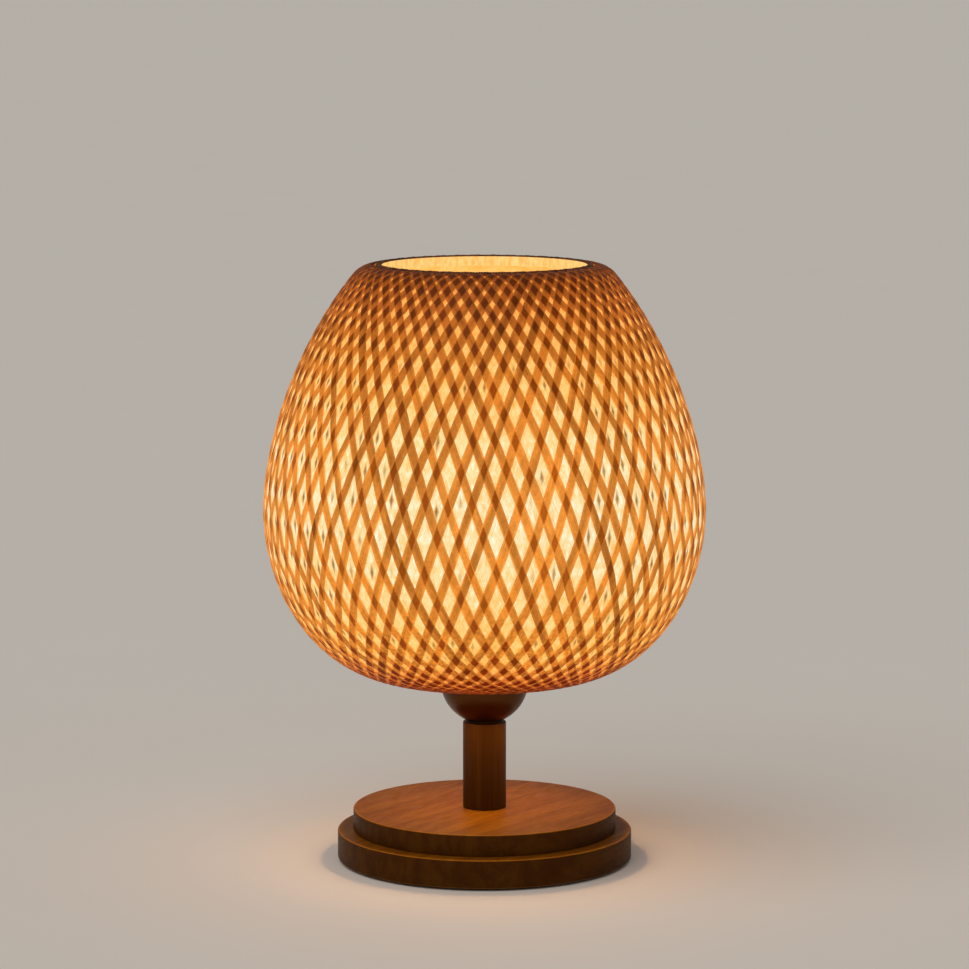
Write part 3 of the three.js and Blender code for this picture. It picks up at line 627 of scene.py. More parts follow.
def bamboo_finish(outline, glow):
    """Bamboo strips lit from behind: orange where one layer lets light through, dark where two cross.

    A strip crosses another where its second lattice coordinate is within half a band of a whole
    number. Near the lower hoop the dark diamonds reach further."""
    finish = Finish("bamboo_strips", roughness=0.48, Emission_Strength=1.0, Specular_IOR_Level=0.07)
    lattice = finish.add("ShaderNodeUVMap", {}, uv_map="Lattice")
    band = finish.add("ShaderNodeAttribute", {}, "Fac", attribute_name="band")
    tone = finish.add("ShaderNodeAttribute", {}, "Fac", attribute_name="tone")
    edge = finish.add("ShaderNodeAttribute", {}, "Fac", attribute_name="edge")
    height = finish.height(outline.bottom, outline.top)

    # long fibres, and broad blotches
    fibre_at = finish.add("ShaderNodeMapping", {"Vector": lattice, "Scale": (34, 1.6, 1)})
    fibre = finish.noise(fibre_at, 1.0, 5.0, 0.6)
    blotch = finish.noise(finish.place(), 55.0, 3.0)

    # where another strip lies behind or in front
    off_middle = lattice_distance(finish, lattice, "Y")
    ragged = finish.maths("MULTIPLY_ADD", finish.noise(lattice, 9.0, 2.0), 0.05, -0.025)
    off_crossing = finish.maths("DIVIDE", finish.maths("ADD", off_middle, ragged), band)
    low_reach = finish.between(height, 0.0, 0.14, 0.24, 0.0)
    off_crossing = finish.maths("SUBTRACT", off_crossing, low_reach)
    off_edge = finish.maths("ABSOLUTE", edge)
    crossing = finish.maths("MULTIPLY", finish.between(off_crossing, 0.62, 1.08, 1.0, 0.0),
                            finish.between(off_edge, 0.55, 1.0, 1.0, 0.3))

    # light through one layer and through two, and lighter edges where the strip is thin
    single = finish.ramp(height, height_stops(outline, [
        (93, 0x7A2604), (100, 0xB4541C), (108, 0xCE7026), (118, 0xD67E28), (160, 0xDC842E),
        (185, 0xE28C36), (222, 0xDC8430), (250, 0xD07826), (268, 0xBE6A1E), (288, 0xB05A1A),
        (300, 0x944610), (305, 0x5A2408)]))
    double = finish.ramp(height, height_stops(outline, [
        (93, 0x561204), (105, 0x701C04), (122, 0x8E3A06), (160, 0xAC5610), (200, 0xA8520E),
        (222, 0x9E4C0A), (247, 0x8A3C04), (275, 0x723002), (292, 0x602602), (305, 0x3A1602)]))
    single = finish.tinted(finish.between(off_edge, 0.5, 0.95, 0.0, 0.7), single, (1.25, 1.5, 2.2))
    light = finish.mix(crossing, single, double)

    # strips differ: as a whole, along their fibres, at each crossing, in fine mottling that is
    # strongest low down, and in long darker stretches
    lively = finish.maths("MULTIPLY_ADD", tone, 0.42, 0.62)
    patchy = finish.between(fibre, 0.28, 0.72, 0.76, 1.16)
    cell = finish.vector("FLOOR", finish.vector("ADD", lattice, (0.5, 0.5, 0.5)))
    chance = finish.add("ShaderNodeTexWhiteNoise", {"Vector": cell}, "Value", noise_dimensions="2D")
    chancy = finish.between(chance, 0.0, 1.0, 0.88, 1.1)
    mottle = finish.between(finish.noise(finish.place(), 560.0, 3.0, 0.6), 0.3, 0.7, -0.32, 0.32)
    mottle = finish.maths("MULTIPLY_ADD", mottle, finish.between(height, 0.08, 0.3, 1.0, 0.3), 1.0)
    stretch_at = finish.add("ShaderNodeMapping", {"Vector": lattice, "Scale": (1.7, 0.13, 1)})
    stretch = finish.between(finish.noise(stretch_at, 1.0, 1.0), 0.34, 0.52, 0.72, 1.08)
    varied = lively
    for change in (patchy, chancy, mottle, stretch):
        varied = finish.maths("MULTIPLY", varied, change)
    light = finish.mix(1.0, light, varied, "MULTIPLY")
    finish.feed("Emission Color", light)

    dark = scaled(glow.bamboo, 0.42)
    surface = finish.mix(finish.between(fibre, 0.3, 0.7), dark, tuple(glow.bamboo))
    surface = finish.mix(finish.between(blotch, 0.45, 0.8, 0.0, 0.5), surface, scaled(glow.bamboo, 0.3))
    # Painted shade: the strips' base colour is darker where two strips cross.
    painted_crossing_shade = finish.mix(crossing, (1.0, 0.9, 0.75), (0.45, 0.3, 0.16))
    finish.feed("Base Color", finish.mix(1.0, surface, painted_crossing_shade, "MULTIPLY"))
    finish.feed("Roughness", finish.between(fibre, 0.2, 0.8, 0.38, 0.6))
    finish.bump(fibre, 0.12 * MM)
    return finish.material


def paper_finish(name, outline, glow, stops, contrast):
    """Fibrous paper lit from behind, with the soft shadows of bamboo laid in it.

    Each cell of the lattice is one gap in the weave, and draws its own tone and the chance, place
    and depth of a leaf-shaped painted shadow of a hidden crossing: a falling-off of the distances
    from the gap's middle along its short and its long diagonal; more lie towards the sides along X."""
    finish = Finish(name, roughness=0.85, Emission_Strength=1.0, Specular_IOR_Level=0.15)
    lattice = finish.add("ShaderNodeUVMap", {}, uv_map="Lattice")
    band = finish.add("ShaderNodeAttribute", {}, "Fac", attribute_name="band")
    height = finish.height(outline.bottom, outline.top)
    where = finish.place()

    # a smooth sway of the hidden bamboo, and a throw of each knot within its gap
    cell = finish.vector("FLOOR", lattice)
    chance = finish.add("ShaderNodeTexWhiteNoise", {"Vector": cell}, "Color", noise_dimensions="2D")
    sway = finish.add("ShaderNodeTexNoise", {"Vector": where, "Scale": 28.0, "Detail": 2.0}, "Color")
    sway = finish.vector("MULTIPLY", finish.vector("SUBTRACT", sway, (0.5, 0.5, 0.5)), (0.4, 0.4, 0.4))
    throw = finish.vector("MULTIPLY", finish.vector("SUBTRACT", chance, (0.5, 0.5, 0.5)), (0.2, 0.2, 0.2))
    hidden = finish.vector("ADD", lattice, sway)
    thrown = finish.vector("ADD", hidden, throw)

    # painted shadows of hidden bamboo crossings, and which gaps have one
    from_middle = [lattice_offset(finish, thrown, axis, 0.5) for axis in ("X", "Y")]
    level = finish.maths("ABSOLUTE", finish.maths("ADD", *from_middle))
    upright = finish.maths("ABSOLUTE", finish.maths("SUBTRACT", *from_middle))
    hidden_crossing_shadow = finish.maths("MULTIPLY_ADD", level, 1 / 0.3, finish.maths("MULTIPLY", upright, 1 / 0.42))
    hidden_crossing_shadow = finish.between(hidden_crossing_shadow, 0.15, 1.0, 1.0, 0.0)
    sideways = finish.maths("ABSOLUTE", finish.part(where, "X"))
    sideways = finish.between(sideways, 0.15 * outline.widest, 0.75 * outline.widest, 0.0, 0.5)
    patch = finish.between(finish.noise(where, 16.0, 2.0), 0.42, 0.62, 0.0, 0.62)
    likely = finish.maths("ADD", patch, sideways)
    picked = finish.between(finish.maths("SUBTRACT", likely, finish.part(chance, "Z")), -0.15, 0.15)
    not_high = finish.between(height, 0.74, 0.86, 1.0, 0.0)
    not_low = finish.between(height, 0.06, 0.2)
    for share in (picked, not_high, not_low):
        hidden_crossing_shadow = finish.maths("MULTIPLY", hidden_crossing_shadow, share)

    # shadows: hidden strips through the gap, streaks along them, and the edges of the strips
    bands = [lattice_distance(finish, hidden, axis, 0.5) for axis in ("X", "Y")]
    strip = finish.maths("MAXIMUM", *[finish.between(value, 0.04, 0.2, 1.0, 0.0) for value in bands])
    stretched = [finish.add("ShaderNodeMapping", {"Vector": hidden, "Scale": scale})
                 for scale in ((20, 2.4, 1), (2.4, 20, 1))]
    streaks = [finish.noise(place, 1.0, 4.0, 0.6) for place in stretched]
    streak = finish.between(finish.maths("MINIMUM", *streaks), 0.34, 0.54, 1.0, 0.0)
    near_strip = finish.maths("MINIMUM", lattice_distance(finish, lattice, "X"),
                              lattice_distance(finish, lattice, "Y"))
    near_strip = finish.maths("SUBTRACT", near_strip, band)
    warm_edge = finish.between(near_strip, -0.02, 0.07, 1.0, 0.0)

    # the light: by height, then the shadows, then duller fibres, clouds and whole gaps
    light = finish.ramp(height, height_stops(outline, stops))
    for shadow, share, tint in ((warm_edge, 0.5, (1.0, 0.72, 0.42)), (strip, 0.4, (0.95, 0.74, 0.45)),
                                (streak, 0.85, (0.92, 0.7, 0.36)), (hidden_crossing_shadow, 0.92, (0.34, 0.2, 0.06))):
        light = finish.tinted(finish.maths("MULTIPLY", shadow, share * contrast), light, tint)
    fibres = finish.noise(finish.place(scale=(1, 1, 0.35)), 700.0, 3.0, 0.7, 0.6)
    cloud = finish.noise(where, 210.0, 3.0)
    for value, low, high, most in ((fibres, 0.3, 0.65, 0.4), (cloud, 0.4, 0.58, 0.65),
                                   (finish.part(chance, "X"), 0.0, 1.0, 0.35)):
        dullness = finish.between(value, low, high, most, 0.0)
        light = finish.tinted(dullness, light, (0.95, 0.8, 0.52))
    finish.feed("Emission Color", light)

    paper = tuple(glow.paper)
    surface = finish.mix(finish.between(fibres, 0.35, 0.7), scaled(paper, 0.78), paper)
    # Painted shade: the shadows of the hidden crossings darken the paper's base colour as well.
    finish.feed("Base Color", finish.mix(hidden_crossing_shadow, surface, scaled(glow.bamboo, 0.5)))
    finish.bump(fibres, 0.06 * MM)
    return finish.material


# ---------------------------------------------------------------- wood, metal and the rest

def wood_finish(name, wood, turn, scale, depth=1.0, seed=0.0, disc_radius=0.0):
    """Stained and oiled wood: long grain with growth lines and fine pores, seen from all sides.

    On a disc, painted shade darkens the side all round and a painted highlight lightens the outer edge."""
    finish = Finish(name, roughness=0.4, Specular_IOR_Level=0.05)
    where = finish.place(scale=scale, turn=turn, shift=(seed, seed * 0.7, seed * 0.3))
    bowed = finish.noise(where, 0.35, 3.0)
    growth = finish.noise(finish.vector("ADD", where, bowed), 1.4, 5.0, 0.62, 0.35)
    pores = finish.noise(where, 11.0, 3.0, 0.7)
    band = finish.between(growth, 0.36, 0.64)
    light, dark = scaled(wood.light, depth), scaled(wood.dark, depth)
    surface = finish.mix(band, dark, light)
    line = finish.between(pores, 0.34, 0.5, 1.0, 0.0)
    surface = finish.mix(finish.maths("MULTIPLY", line, 0.22), surface, scaled(dark, 0.6))
    streak = finish.between(finish.noise(where, 0.8, 2.0, 0.5, 0.2), 0.62, 0.72)
    surface = finish.mix(finish.maths("MULTIPLY", streak, 0.32), surface, scaled(dark, 0.65))
    # Painted light on a disc: the whole side is darkened as painted shade, and a band along the outer
    # edge is lightened as a painted highlight.
    if disc_radius:
        flat = finish.vector("MULTIPLY", finish.place(), (1, 1, 0))
        away = finish.add("ShaderNodeVectorMath", {0: flat}, "Value", operation="LENGTH")
        painted_edge_highlight = finish.between(away, disc_radius - 1.2 * MM, disc_radius - 0.6 * MM)
        side = finish.between(away, disc_radius - 0.3 * MM, disc_radius - 0.05 * MM)
        painted_side_shade = finish.mix(1.0, surface, (0.33, 0.3, 0.3), "MULTIPLY")
        surface = finish.mix(finish.maths("MULTIPLY", painted_edge_highlight, 0.6), surface, scaled(light, 1.7))
        surface = finish.mix(side, surface, painted_side_shade)
    finish.feed("Base Color", surface)
    finish.feed("Roughness", finish.between(pores, 0.3, 0.7, 0.52, 0.34))
    finish.bump(finish.maths("SUBTRACT", band, line), 0.05 * MM)
    return finish.material


def metal_finish(name, shade, roughness, brushed=(1, 1, 1), wear=0.25):
    """Metal with fine brushed lines and patches of duller surface."""
    finish = Finish(name, roughness=roughness, metallic=1.0)
    lines = finish.noise(finish.place(scale=brushed), 700.0, 2.0, 0.6)
    patches = finish.noise(finish.place(), 70.0, 4.0)
    worn = finish.between(patches, 0.4, 0.75, 0.0, wear)
    finish.feed("Base Color", finish.mix(worn, shade, scaled(shade, 0.55)))
    rough = finish.maths("MULTIPLY_ADD", worn, 0.35, roughness - 0.06)
    rough = finish.maths("ADD", rough, finish.maths("MULTIPLY", lines, 0.12))
    finish.feed("Roughness", rough)
    finish.bump(lines, 0.02 * MM)
    return finish.material


def moulded_finish(name, shade, roughness, relief=0.03 * MM):
    """Moulded plastic, porcelain or rubber: a fine surface grain and slightly uneven colour."""
    finish = Finish(name, roughness=roughness)
    fine = finish.noise(finish.place(), 900.0, 3.0)
    broad = finish.noise(finish.place(), 60.0, 3.0)
    finish.feed("Base Color", finish.mix(finish.between(broad, 0.3, 0.7), scaled(shade, 0.85), shade))
    finish.feed("Roughness", finish.between(fine, 0.3, 0.7, roughness - 0.07, roughness + 0.07))
    finish.bump(fine, relief)
    return finish.material


def lit_finish(name, shade, light, strength, middle, reach):
    """A lit part of the bulb: brightest near the middle height and softer away from it."""
    finish = Finish(name, roughness=0.45, Base_Color=(*shade, 1), Emission_Strength=strength)
    height = finish.height(middle - reach, middle + reach)
    away = finish.maths("ABSOLUTE", finish.maths("SUBTRACT", height, 0.5))
    fade = finish.between(away, 0.0, 0.5, 1.0, 0.7)
    grain = finish.between(finish.noise(finish.place(), 500.0, 2.0), 0.3, 0.7, 0.95, 1.0)
    glow = finish.mix(1.0, (*light, 1), finish.maths("MULTIPLY", fade, grain), "MULTIPLY")
    finish.feed("Emission Color", glow)
    return finish.material


def felt_finish(name):
    """Pressed felt: short tangled fibres."""
    finish = Finish(name, roughness=0.95, Sheen_Weight=0.3)
    fibres = finish.noise(finish.place(), 1800.0, 4.0, 0.7, 1.5)
    share = finish.between(fibres, 0.35, 0.65)
    finish.feed("Base Color", finish.mix(share, srgb(0x1E1612), srgb(0x3E3028)))
    finish.bump(fibres, 0.2 * MM)
    return finish.material


def board_finish():
    """Circuit board: green lacquer over straight copper tracks."""
    finish = Finish("circuit_board", roughness=0.35)
    where = finish.place()
    tracks = finish.add("ShaderNodeTexBrick", {"Vector": where, "Scale": 160.0, "Mortar Size": 0.12,
                                               "Color1": (0.015, 0.09, 0.03, 1),
                                               "Color2": (0.02, 0.11, 0.04, 1),
                                               "Mortar": (0.05, 0.2, 0.07, 1)})
    finish.feed("Base Color", tracks)
    finish.bump(finish.noise(where, 800.0, 2.0), 0.03 * MM)
    return finish.material


# ---------------------------------------------------------------- operators

class LAMP_OT_stage(Operator):
    """Make the floor, the studio lights and the camera"""

    bl_idname = "lamp.stage"
    bl_label = "Stage"

    def execute(self, context):
        stage = context.scene.lamp.stage
        context.scene.view_settings.view_transform = "Standard"
        self.add_floor(stage)
        self.add_lights(context, stage)
        camera = bpy.data.cameras.new("camera")
        camera.lens = stage.lens
        camera.clip_end = 2 * stage.floor_radius
        holder = bpy.data.objects.new("camera", camera)
        holder.location = (0, -stage.camera_distance, stage.camera_height)
        holder.rotation_euler = (math.pi / 2 - stage.camera_tilt, 0, 0)
        context.scene.collection.objects.link(holder)
        context.scene.camera = holder
        return {"FINISHED"}

    def add_floor(self, stage):
        """A flat round floor at height 0 with a plain, barely mottled finish."""
        turn = np.arange(64) * TAU / 64
        rim = np.stack([np.cos(turn), np.sin(turn), 0 * turn], -1) * stage.floor_radius
        mesh = bpy.data.meshes.new("floor")
        mesh.from_pydata(rim.tolist(), [], [list(range(64))])
        floor = bpy.data.objects.new("floor", mesh)
        bpy.context.scene.collection.objects.link(floor)
        finish = Finish("floor", roughness=0.8)
        mottle = finish.noise(finish.place(), 6.0, 4.0)
        shade = tuple(stage.floor)
        finish.feed("Base Color", finish.mix(mottle, scaled(shade, 0.97), shade))
        put(finish.material, floor)

    def add_lights(self, context, stage):
        """An even sky, and a wide soft light from above and to the left."""
        world = bpy.data.worlds.new("studio")
        world.use_nodes = True
        tree = world.node_tree
        sky = tree.nodes["Background"]
        sky.inputs["Color"].default_value = (1, 0.98, 0.95, 1)
        sky.inputs["Strength"].default_value = stage.sky
        seen = tree.nodes.new("ShaderNodeBackground")
        seen.inputs["Color"].default_value = (1, 0.936, 0.846, 1)
        seen.inputs["Strength"].default_value = stage.backdrop
        path = tree.nodes.new("ShaderNodeLightPath")
        either = tree.nodes.new("ShaderNodeMixShader")
        tree.links.new(path.outputs["Is Camera Ray"], either.inputs[0])
        tree.links.new(sky.outputs[0], either.inputs[1])
        tree.links.new(seen.outputs[0], either.inputs[2])
        tree.links.new(either.outputs[0], tree.nodes["World Output"].inputs["Surface"])
        context.scene.world = world
        sun = bpy.data.lights.new("key", "SUN")
        sun.energy = stage.key
        sun.angle = stage.key_softness
        sun.color = (1, 0.97, 0.93)
        holder = bpy.data.objects.new("key", sun)
        holder.rotation_euler = (math.radians(24), math.radians(-20), 0)
        context.scene.collection.objects.link(holder)


class LAMP_OT_weave(Operator):
    """Weave the bamboo strips of the shade, one piece for each way they lean"""

    bl_idname = "lamp.weave"
    bl_label = "Woven strips"

    def execute(self, context):
        settings = context.scene.lamp.shade
        outline = Outline(settings)
        left = Drift(11, settings.strip_count, outline.pitch)
        right = Drift(12, settings.strip_count, outline.pitch)
        first = weave_strips("weave_left", 1, outline, settings, left, right, ["woven_shade"])
        second = weave_strips("weave_right", -1, outline, settings, right, left, [])
        put(bamboo_finish(outline, context.scene.lamp.glow), first, second)
        return {"FINISHED"}


class LAMP_OT_liner(Operator):
    """Line the shade with paper"""

    bl_idname = "lamp.liner"
    bl_label = "Paper liner"

    def execute(self, context):
        glow = context.scene.lamp.glow
        outline = Outline(context.scene.lamp.shade)
        liner, inside = liner_shell(outline, context.scene.lamp.shade)
        # Painted light: the outer face glows with the bulb's light coming through, the inner face with
        # the bulb's light falling on it.
        seen = paper_finish("liner_paper", outline, glow, [
            (93, 0xD07C38), (103, 0xF0AE5C), (113, 0xFFD284), (128, 0xFFE49C), (165, 0xFFFBE2),
            (190, 0xFFFFF2), (220, 0xFFFADC), (247, 0xFFE4A6), (275, 0xFFCE84), (292, 0xFABA66),
            (305, 0xD08A40)], 1.0)
        hidden = paper_finish("liner_paper_inside", outline, glow, [
            (93, 0xC88A46), (140, 0xE0AC60), (190, 0xE8B468), (250, 0xF2BE6C), (280, 0xFCCC7C),
            (305, 0xFFD080)], 0.35)
        liner.data.materials.append(seen)
        liner.data.materials.append(hidden)
        liner.data.polygons.foreach_set("material_index", inside)
        self.add_lip(glow)
        return {"FINISHED"}

    def add_lip(self, glow):
        """The liner's edge, turned up over the inside of the upper hoop."""
        hoop = Span("top_hoop")
        outer = hoop.radius - 3.05 * MM
        thickness = 0.5 * MM
        bottom, top = hoop.bottom - 1.5 * MM, hoop.top - 0.9 * MM
        profile = rounded_ring_profile(outer - thickness, outer, bottom, top, 0.2 * MM, 3)
        finish = Finish("liner_lip", roughness=0.85, Emission_Strength=1.0)
        fibres = finish.noise(finish.place(scale=(1, 1, 0.4)), 500.0, 4.0, 0.65)
        # Painted light: the lip glows with the bulb's light falling on its paper.
        light = finish.mix(finish.between(fibres, 0.3, 0.7), srgb(0xE8AE58), srgb(0xFAD084))
        finish.feed("Emission Color", light)
        finish.feed("Base Color", finish.mix(fibres, scaled(glow.paper, 0.8), tuple(glow.paper)))
        finish.bump(fibres, 0.1 * MM)
        put(finish.material, turned("liner_lip", profile, 180, "shade"))


class LAMP_OT_hoops(Operator):
    """Bind the shade's two hoops"""

    bl_idname = "lamp.hoops"
    bl_label = "Bound hoops"

    def execute(self, context):
        finish = self.binding()
        for name, node, width, edge, around, number, depth in (
                ("top_binding", "top_hoop", 3 * MM, 1.3 * MM, 720, 240, 0.22 * MM),
                ("bottom_binding", "bottom_hoop", 4 * MM, 1.4 * MM, 600, 190, 0.2 * MM)):
            hoop = Span(node)
            profile = rounded_ring_profile(hoop.radius - width, hoop.radius, hoop.bottom, hoop.top, edge)
            put(finish, turned(name, profile, around, "shade", [node],
                               shape=self.wraps(number, depth)))
        return {"FINISHED"}

    def wraps(self, number, depth):
        """Presses the section in between the wraps of a thin strip wound slantwise round the hoop."""
        def shape(radius, height, turn):
            middle = (radius.min() + radius.max()) / 2, (height.min() + height.max()) / 2
            side = np.arctan2(height - middle[1], radius - middle[0])
            groove = (0.5 + 0.5 * np.cos(turn * number + side)) ** 6
            uneven = 0.6 * np.sin(turn * 37) + 0.4 * np.sin(turn * 91 + 1)
            inset = depth * groove + 0.12 * MM * (1 + uneven)
            return radius - inset * np.cos(side), height - inset * np.sin(side)
        return shape

    def binding(self):
        """Dark stained bamboo binding, streaked along its wraps."""
        finish = Finish("binding", roughness=0.55, Specular_IOR_Level=0.15)
        streaks = finish.noise(finish.place(scale=(1, 1, 0.3)), 420.0, 4.0, 0.65)
        patches = finish.noise(finish.place(), 60.0, 3.0)
        shade = finish.mix(finish.between(streaks, 0.3, 0.7), srgb(0x3E1E08), srgb(0x7E4A1C))
        shade = finish.mix(finish.between(patches, 0.4, 0.8, 0.0, 0.6), shade, srgb(0x2C1404))
        finish.feed("Base Color", shade)
        finish.bump(streaks, 0.15 * MM)
        return finish.material


class LAMP_OT_base(Operator):
    """Turn the two discs of the base, and lay the pad and the cord's bushing"""

    bl_idname = "lamp.base"
    bl_label = "Base"

    def execute(self, context):
        wood = context.scene.lamp.wood
        lower, upper, pad, tube = [Span(name) for name in
                                   ("base_lower_disc", "base_upper_disc", "base_pad", "threaded_tube")]
        hole = tube.radius + CLEARANCE
        recess = 17 * MM
        shelf = lower.bottom + 10 * MM
        lower_profile = np.concatenate([
            ring_profile(recess, lower.radius, lower.bottom, lower.top, wood.disc_edge)[:-1],
            [[hole, lower.top], [hole, shelf], [recess, shelf]],
        ])
        upper_profile = ring_profile(hole, upper.radius, upper.bottom, upper.top, wood.disc_edge)
        turn = (0, 0, -wood.grain_turn)
        grain = (9, 120, 60)
        put(wood_finish("base_wood_lower", wood, turn, grain, 0.9, 3.1, lower.radius),
            turned("base_lower", lower_profile, 256, "lamp_base", ["base_lower_disc"]))
        put(wood_finish("base_wood_upper", wood, turn, grain, 1.0, 7.7, upper.radius),
            turned("base_upper", upper_profile, 256, "lamp_base", ["base_upper_disc"]))
        pad_profile = ring_profile(recess + CLEARANCE, pad.radius, pad.bottom, pad.top, 0.3 * MM, 3)
        put(felt_finish("pad_felt"),
            turned("felt_pad", pad_profile, 192, "lamp_base", ["base_pad"]))
        self.add_bushing()
        return {"FINISHED"}

    def add_bushing(self):
        """The rubber bushing, turned about Z and then laid along Y."""
        low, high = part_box("cord_grommet")
        bore = 3.2 * MM
        flange = (high.x - low.x) / 2
        outer = bore + 1.2 * MM
        step = high.y - 1.8 * MM
        edge = 0.5 * MM
        profile = np.concatenate([
            [[bore, low.y], [outer, low.y], [outer, step]],
            bend(flange - edge, step + edge, edge, -90, 0, 4),
            bend(flange - edge, high.y - edge, edge, 0, 90, 4),
            bend(bore + edge, high.y - edge, edge, 90, 180, 4),
        ])
        bushing = turned("cord_bushing", profile, 64, "lamp_base", ["cord_grommet"])
        middle = (low.z + high.z) / 2
        bushing.data.transform(Matrix.Translation((0, 0, middle)) @ Matrix.Rotation(-math.pi / 2, 4, "X"))
        put(moulded_finish("rubber", srgb(0x1A1817), 0.75, 0.08 * MM), bushing)


class LAMP_OT_post(Operator):
    """Turn the wooden post and its brass washer"""

    bl_idname = "lamp.post"
    bl_label = "Post"

    def execute(self, context):
        wood = context.scene.lamp.wood
        post, washer, tube = Span("post"), Span("cup_washer"), Span("threaded_tube")
        hole = tube.radius + CLEARANCE
        profile = ring_profile(hole, post.radius, post.bottom, post.top, wood.post_edge)
        # Painted shade: the post is the base's wood at 0.3 of its brightness, for the shade it stands in
        # under the cup.
        put(wood_finish("post_wood", wood, (0, 0, 0), (190, 190, 7), 0.3, 1.3),
            turned("wooden_post", profile, 128, "lamp_base", ["post"]))
        profile = ring_profile(hole, washer.radius, washer.bottom, washer.top, 0.2 * MM, 3)
        put(metal_finish("washer_brass", srgb(0x6E5228), 0.4),
            turned("brass_washer", profile, 96, "lamp_base", ["cup_washer"]))
        return {"FINISHED"}


class LAMP_OT_holder(Operator):
    """Form the lampholder's cup and its threaded skirt"""

    bl_idname = "lamp.holder"
    bl_label = "Lampholder"

    def execute(self, context):
        self.add_cup()
        self.add_skirt()
        return {"FINISHED"}

    def add_cup(self):
        """Half a sphere of even wall with a rolled rim and a flat bored bottom."""
        cup, tube = Span("holder_cup"), Span("threaded_tube")
        wall = 1.2 * MM
        hole = tube.radius + CLEARANCE
        outer_angle = math.degrees(math.asin(cup.height / cup.radius))
        inner_angle = math.degrees(math.asin((cup.height - wall) / (cup.radius - wall)))
        lip = wall / 2
        rim = cup.top - lip
        profile = np.concatenate([
            [[hole, cup.bottom]],
            bend(0, cup.top, cup.radius, -outer_angle, -2, 40),
            bend(cup.radius - lip, rim, lip, 0, 180, 8),
            bend(0, cup.top, cup.radius - wall, -2, -inner_angle, 32),
            [[hole, cup.bottom + wall]],
        ])
        finish = metal_finish("bronze_cup", srgb(0x54341A), 0.28, (1, 1, 14), 0.35)
        put(finish, turned("bronze_cup", profile, 192, "lamp_base", ["holder_cup"]))

    def add_skirt(self):
        """Moulded tube with a lip at its top and a coarse thread on its upper part."""
        skirt, shell, ring = Span("holder_skirt"), Span("thread_shell"), Span("shade_ring")
        inner = skirt.radius - 1.9 * MM
        lip_inner = shell.radius + CLEARANCE
        lip_bottom = skirt.top - 2 * MM
        pitch = 2.5 * MM
        start = ring.bottom - 1 * MM
        end = skirt.top - 1.5 * MM
        outside = np.arange(skirt.bottom, skirt.top - 0.5 * MM, 0.25 * MM)
        profile = np.concatenate([
            [[inner, skirt.bottom]],
            np.stack([np.full(len(outside), skirt.radius), outside], -1),
            bend(skirt.radius - 0.5 * MM, skirt.top - 0.5 * MM, 0.5 * MM, 0, 90, 4),
            [[lip_inner, skirt.top], [lip_inner, lip_bottom], [inner, lip_bottom]],
        ])

        def thread(radius, height, turn):
            """A rounded groove whose depth fades in and out at the thread's ends."""
            wave = 0.5 + 0.5 * np.cos((height / pitch - turn / TAU) * TAU)
            fade = np.clip((height - start) / pitch, 0, 1) * np.clip((end - height) / pitch, 0, 1)
            outer = radius > skirt.radius - 0.01 * MM
            return radius - outer * fade * wave ** 1.5 * 0.7 * MM, height

        finish = moulded_finish("black_plastic", srgb(0x17150F), 0.42)
        put(finish, turned("threaded_skirt", profile, 144, "lamp_base",
                           ["holder_skirt"], shape=thread))


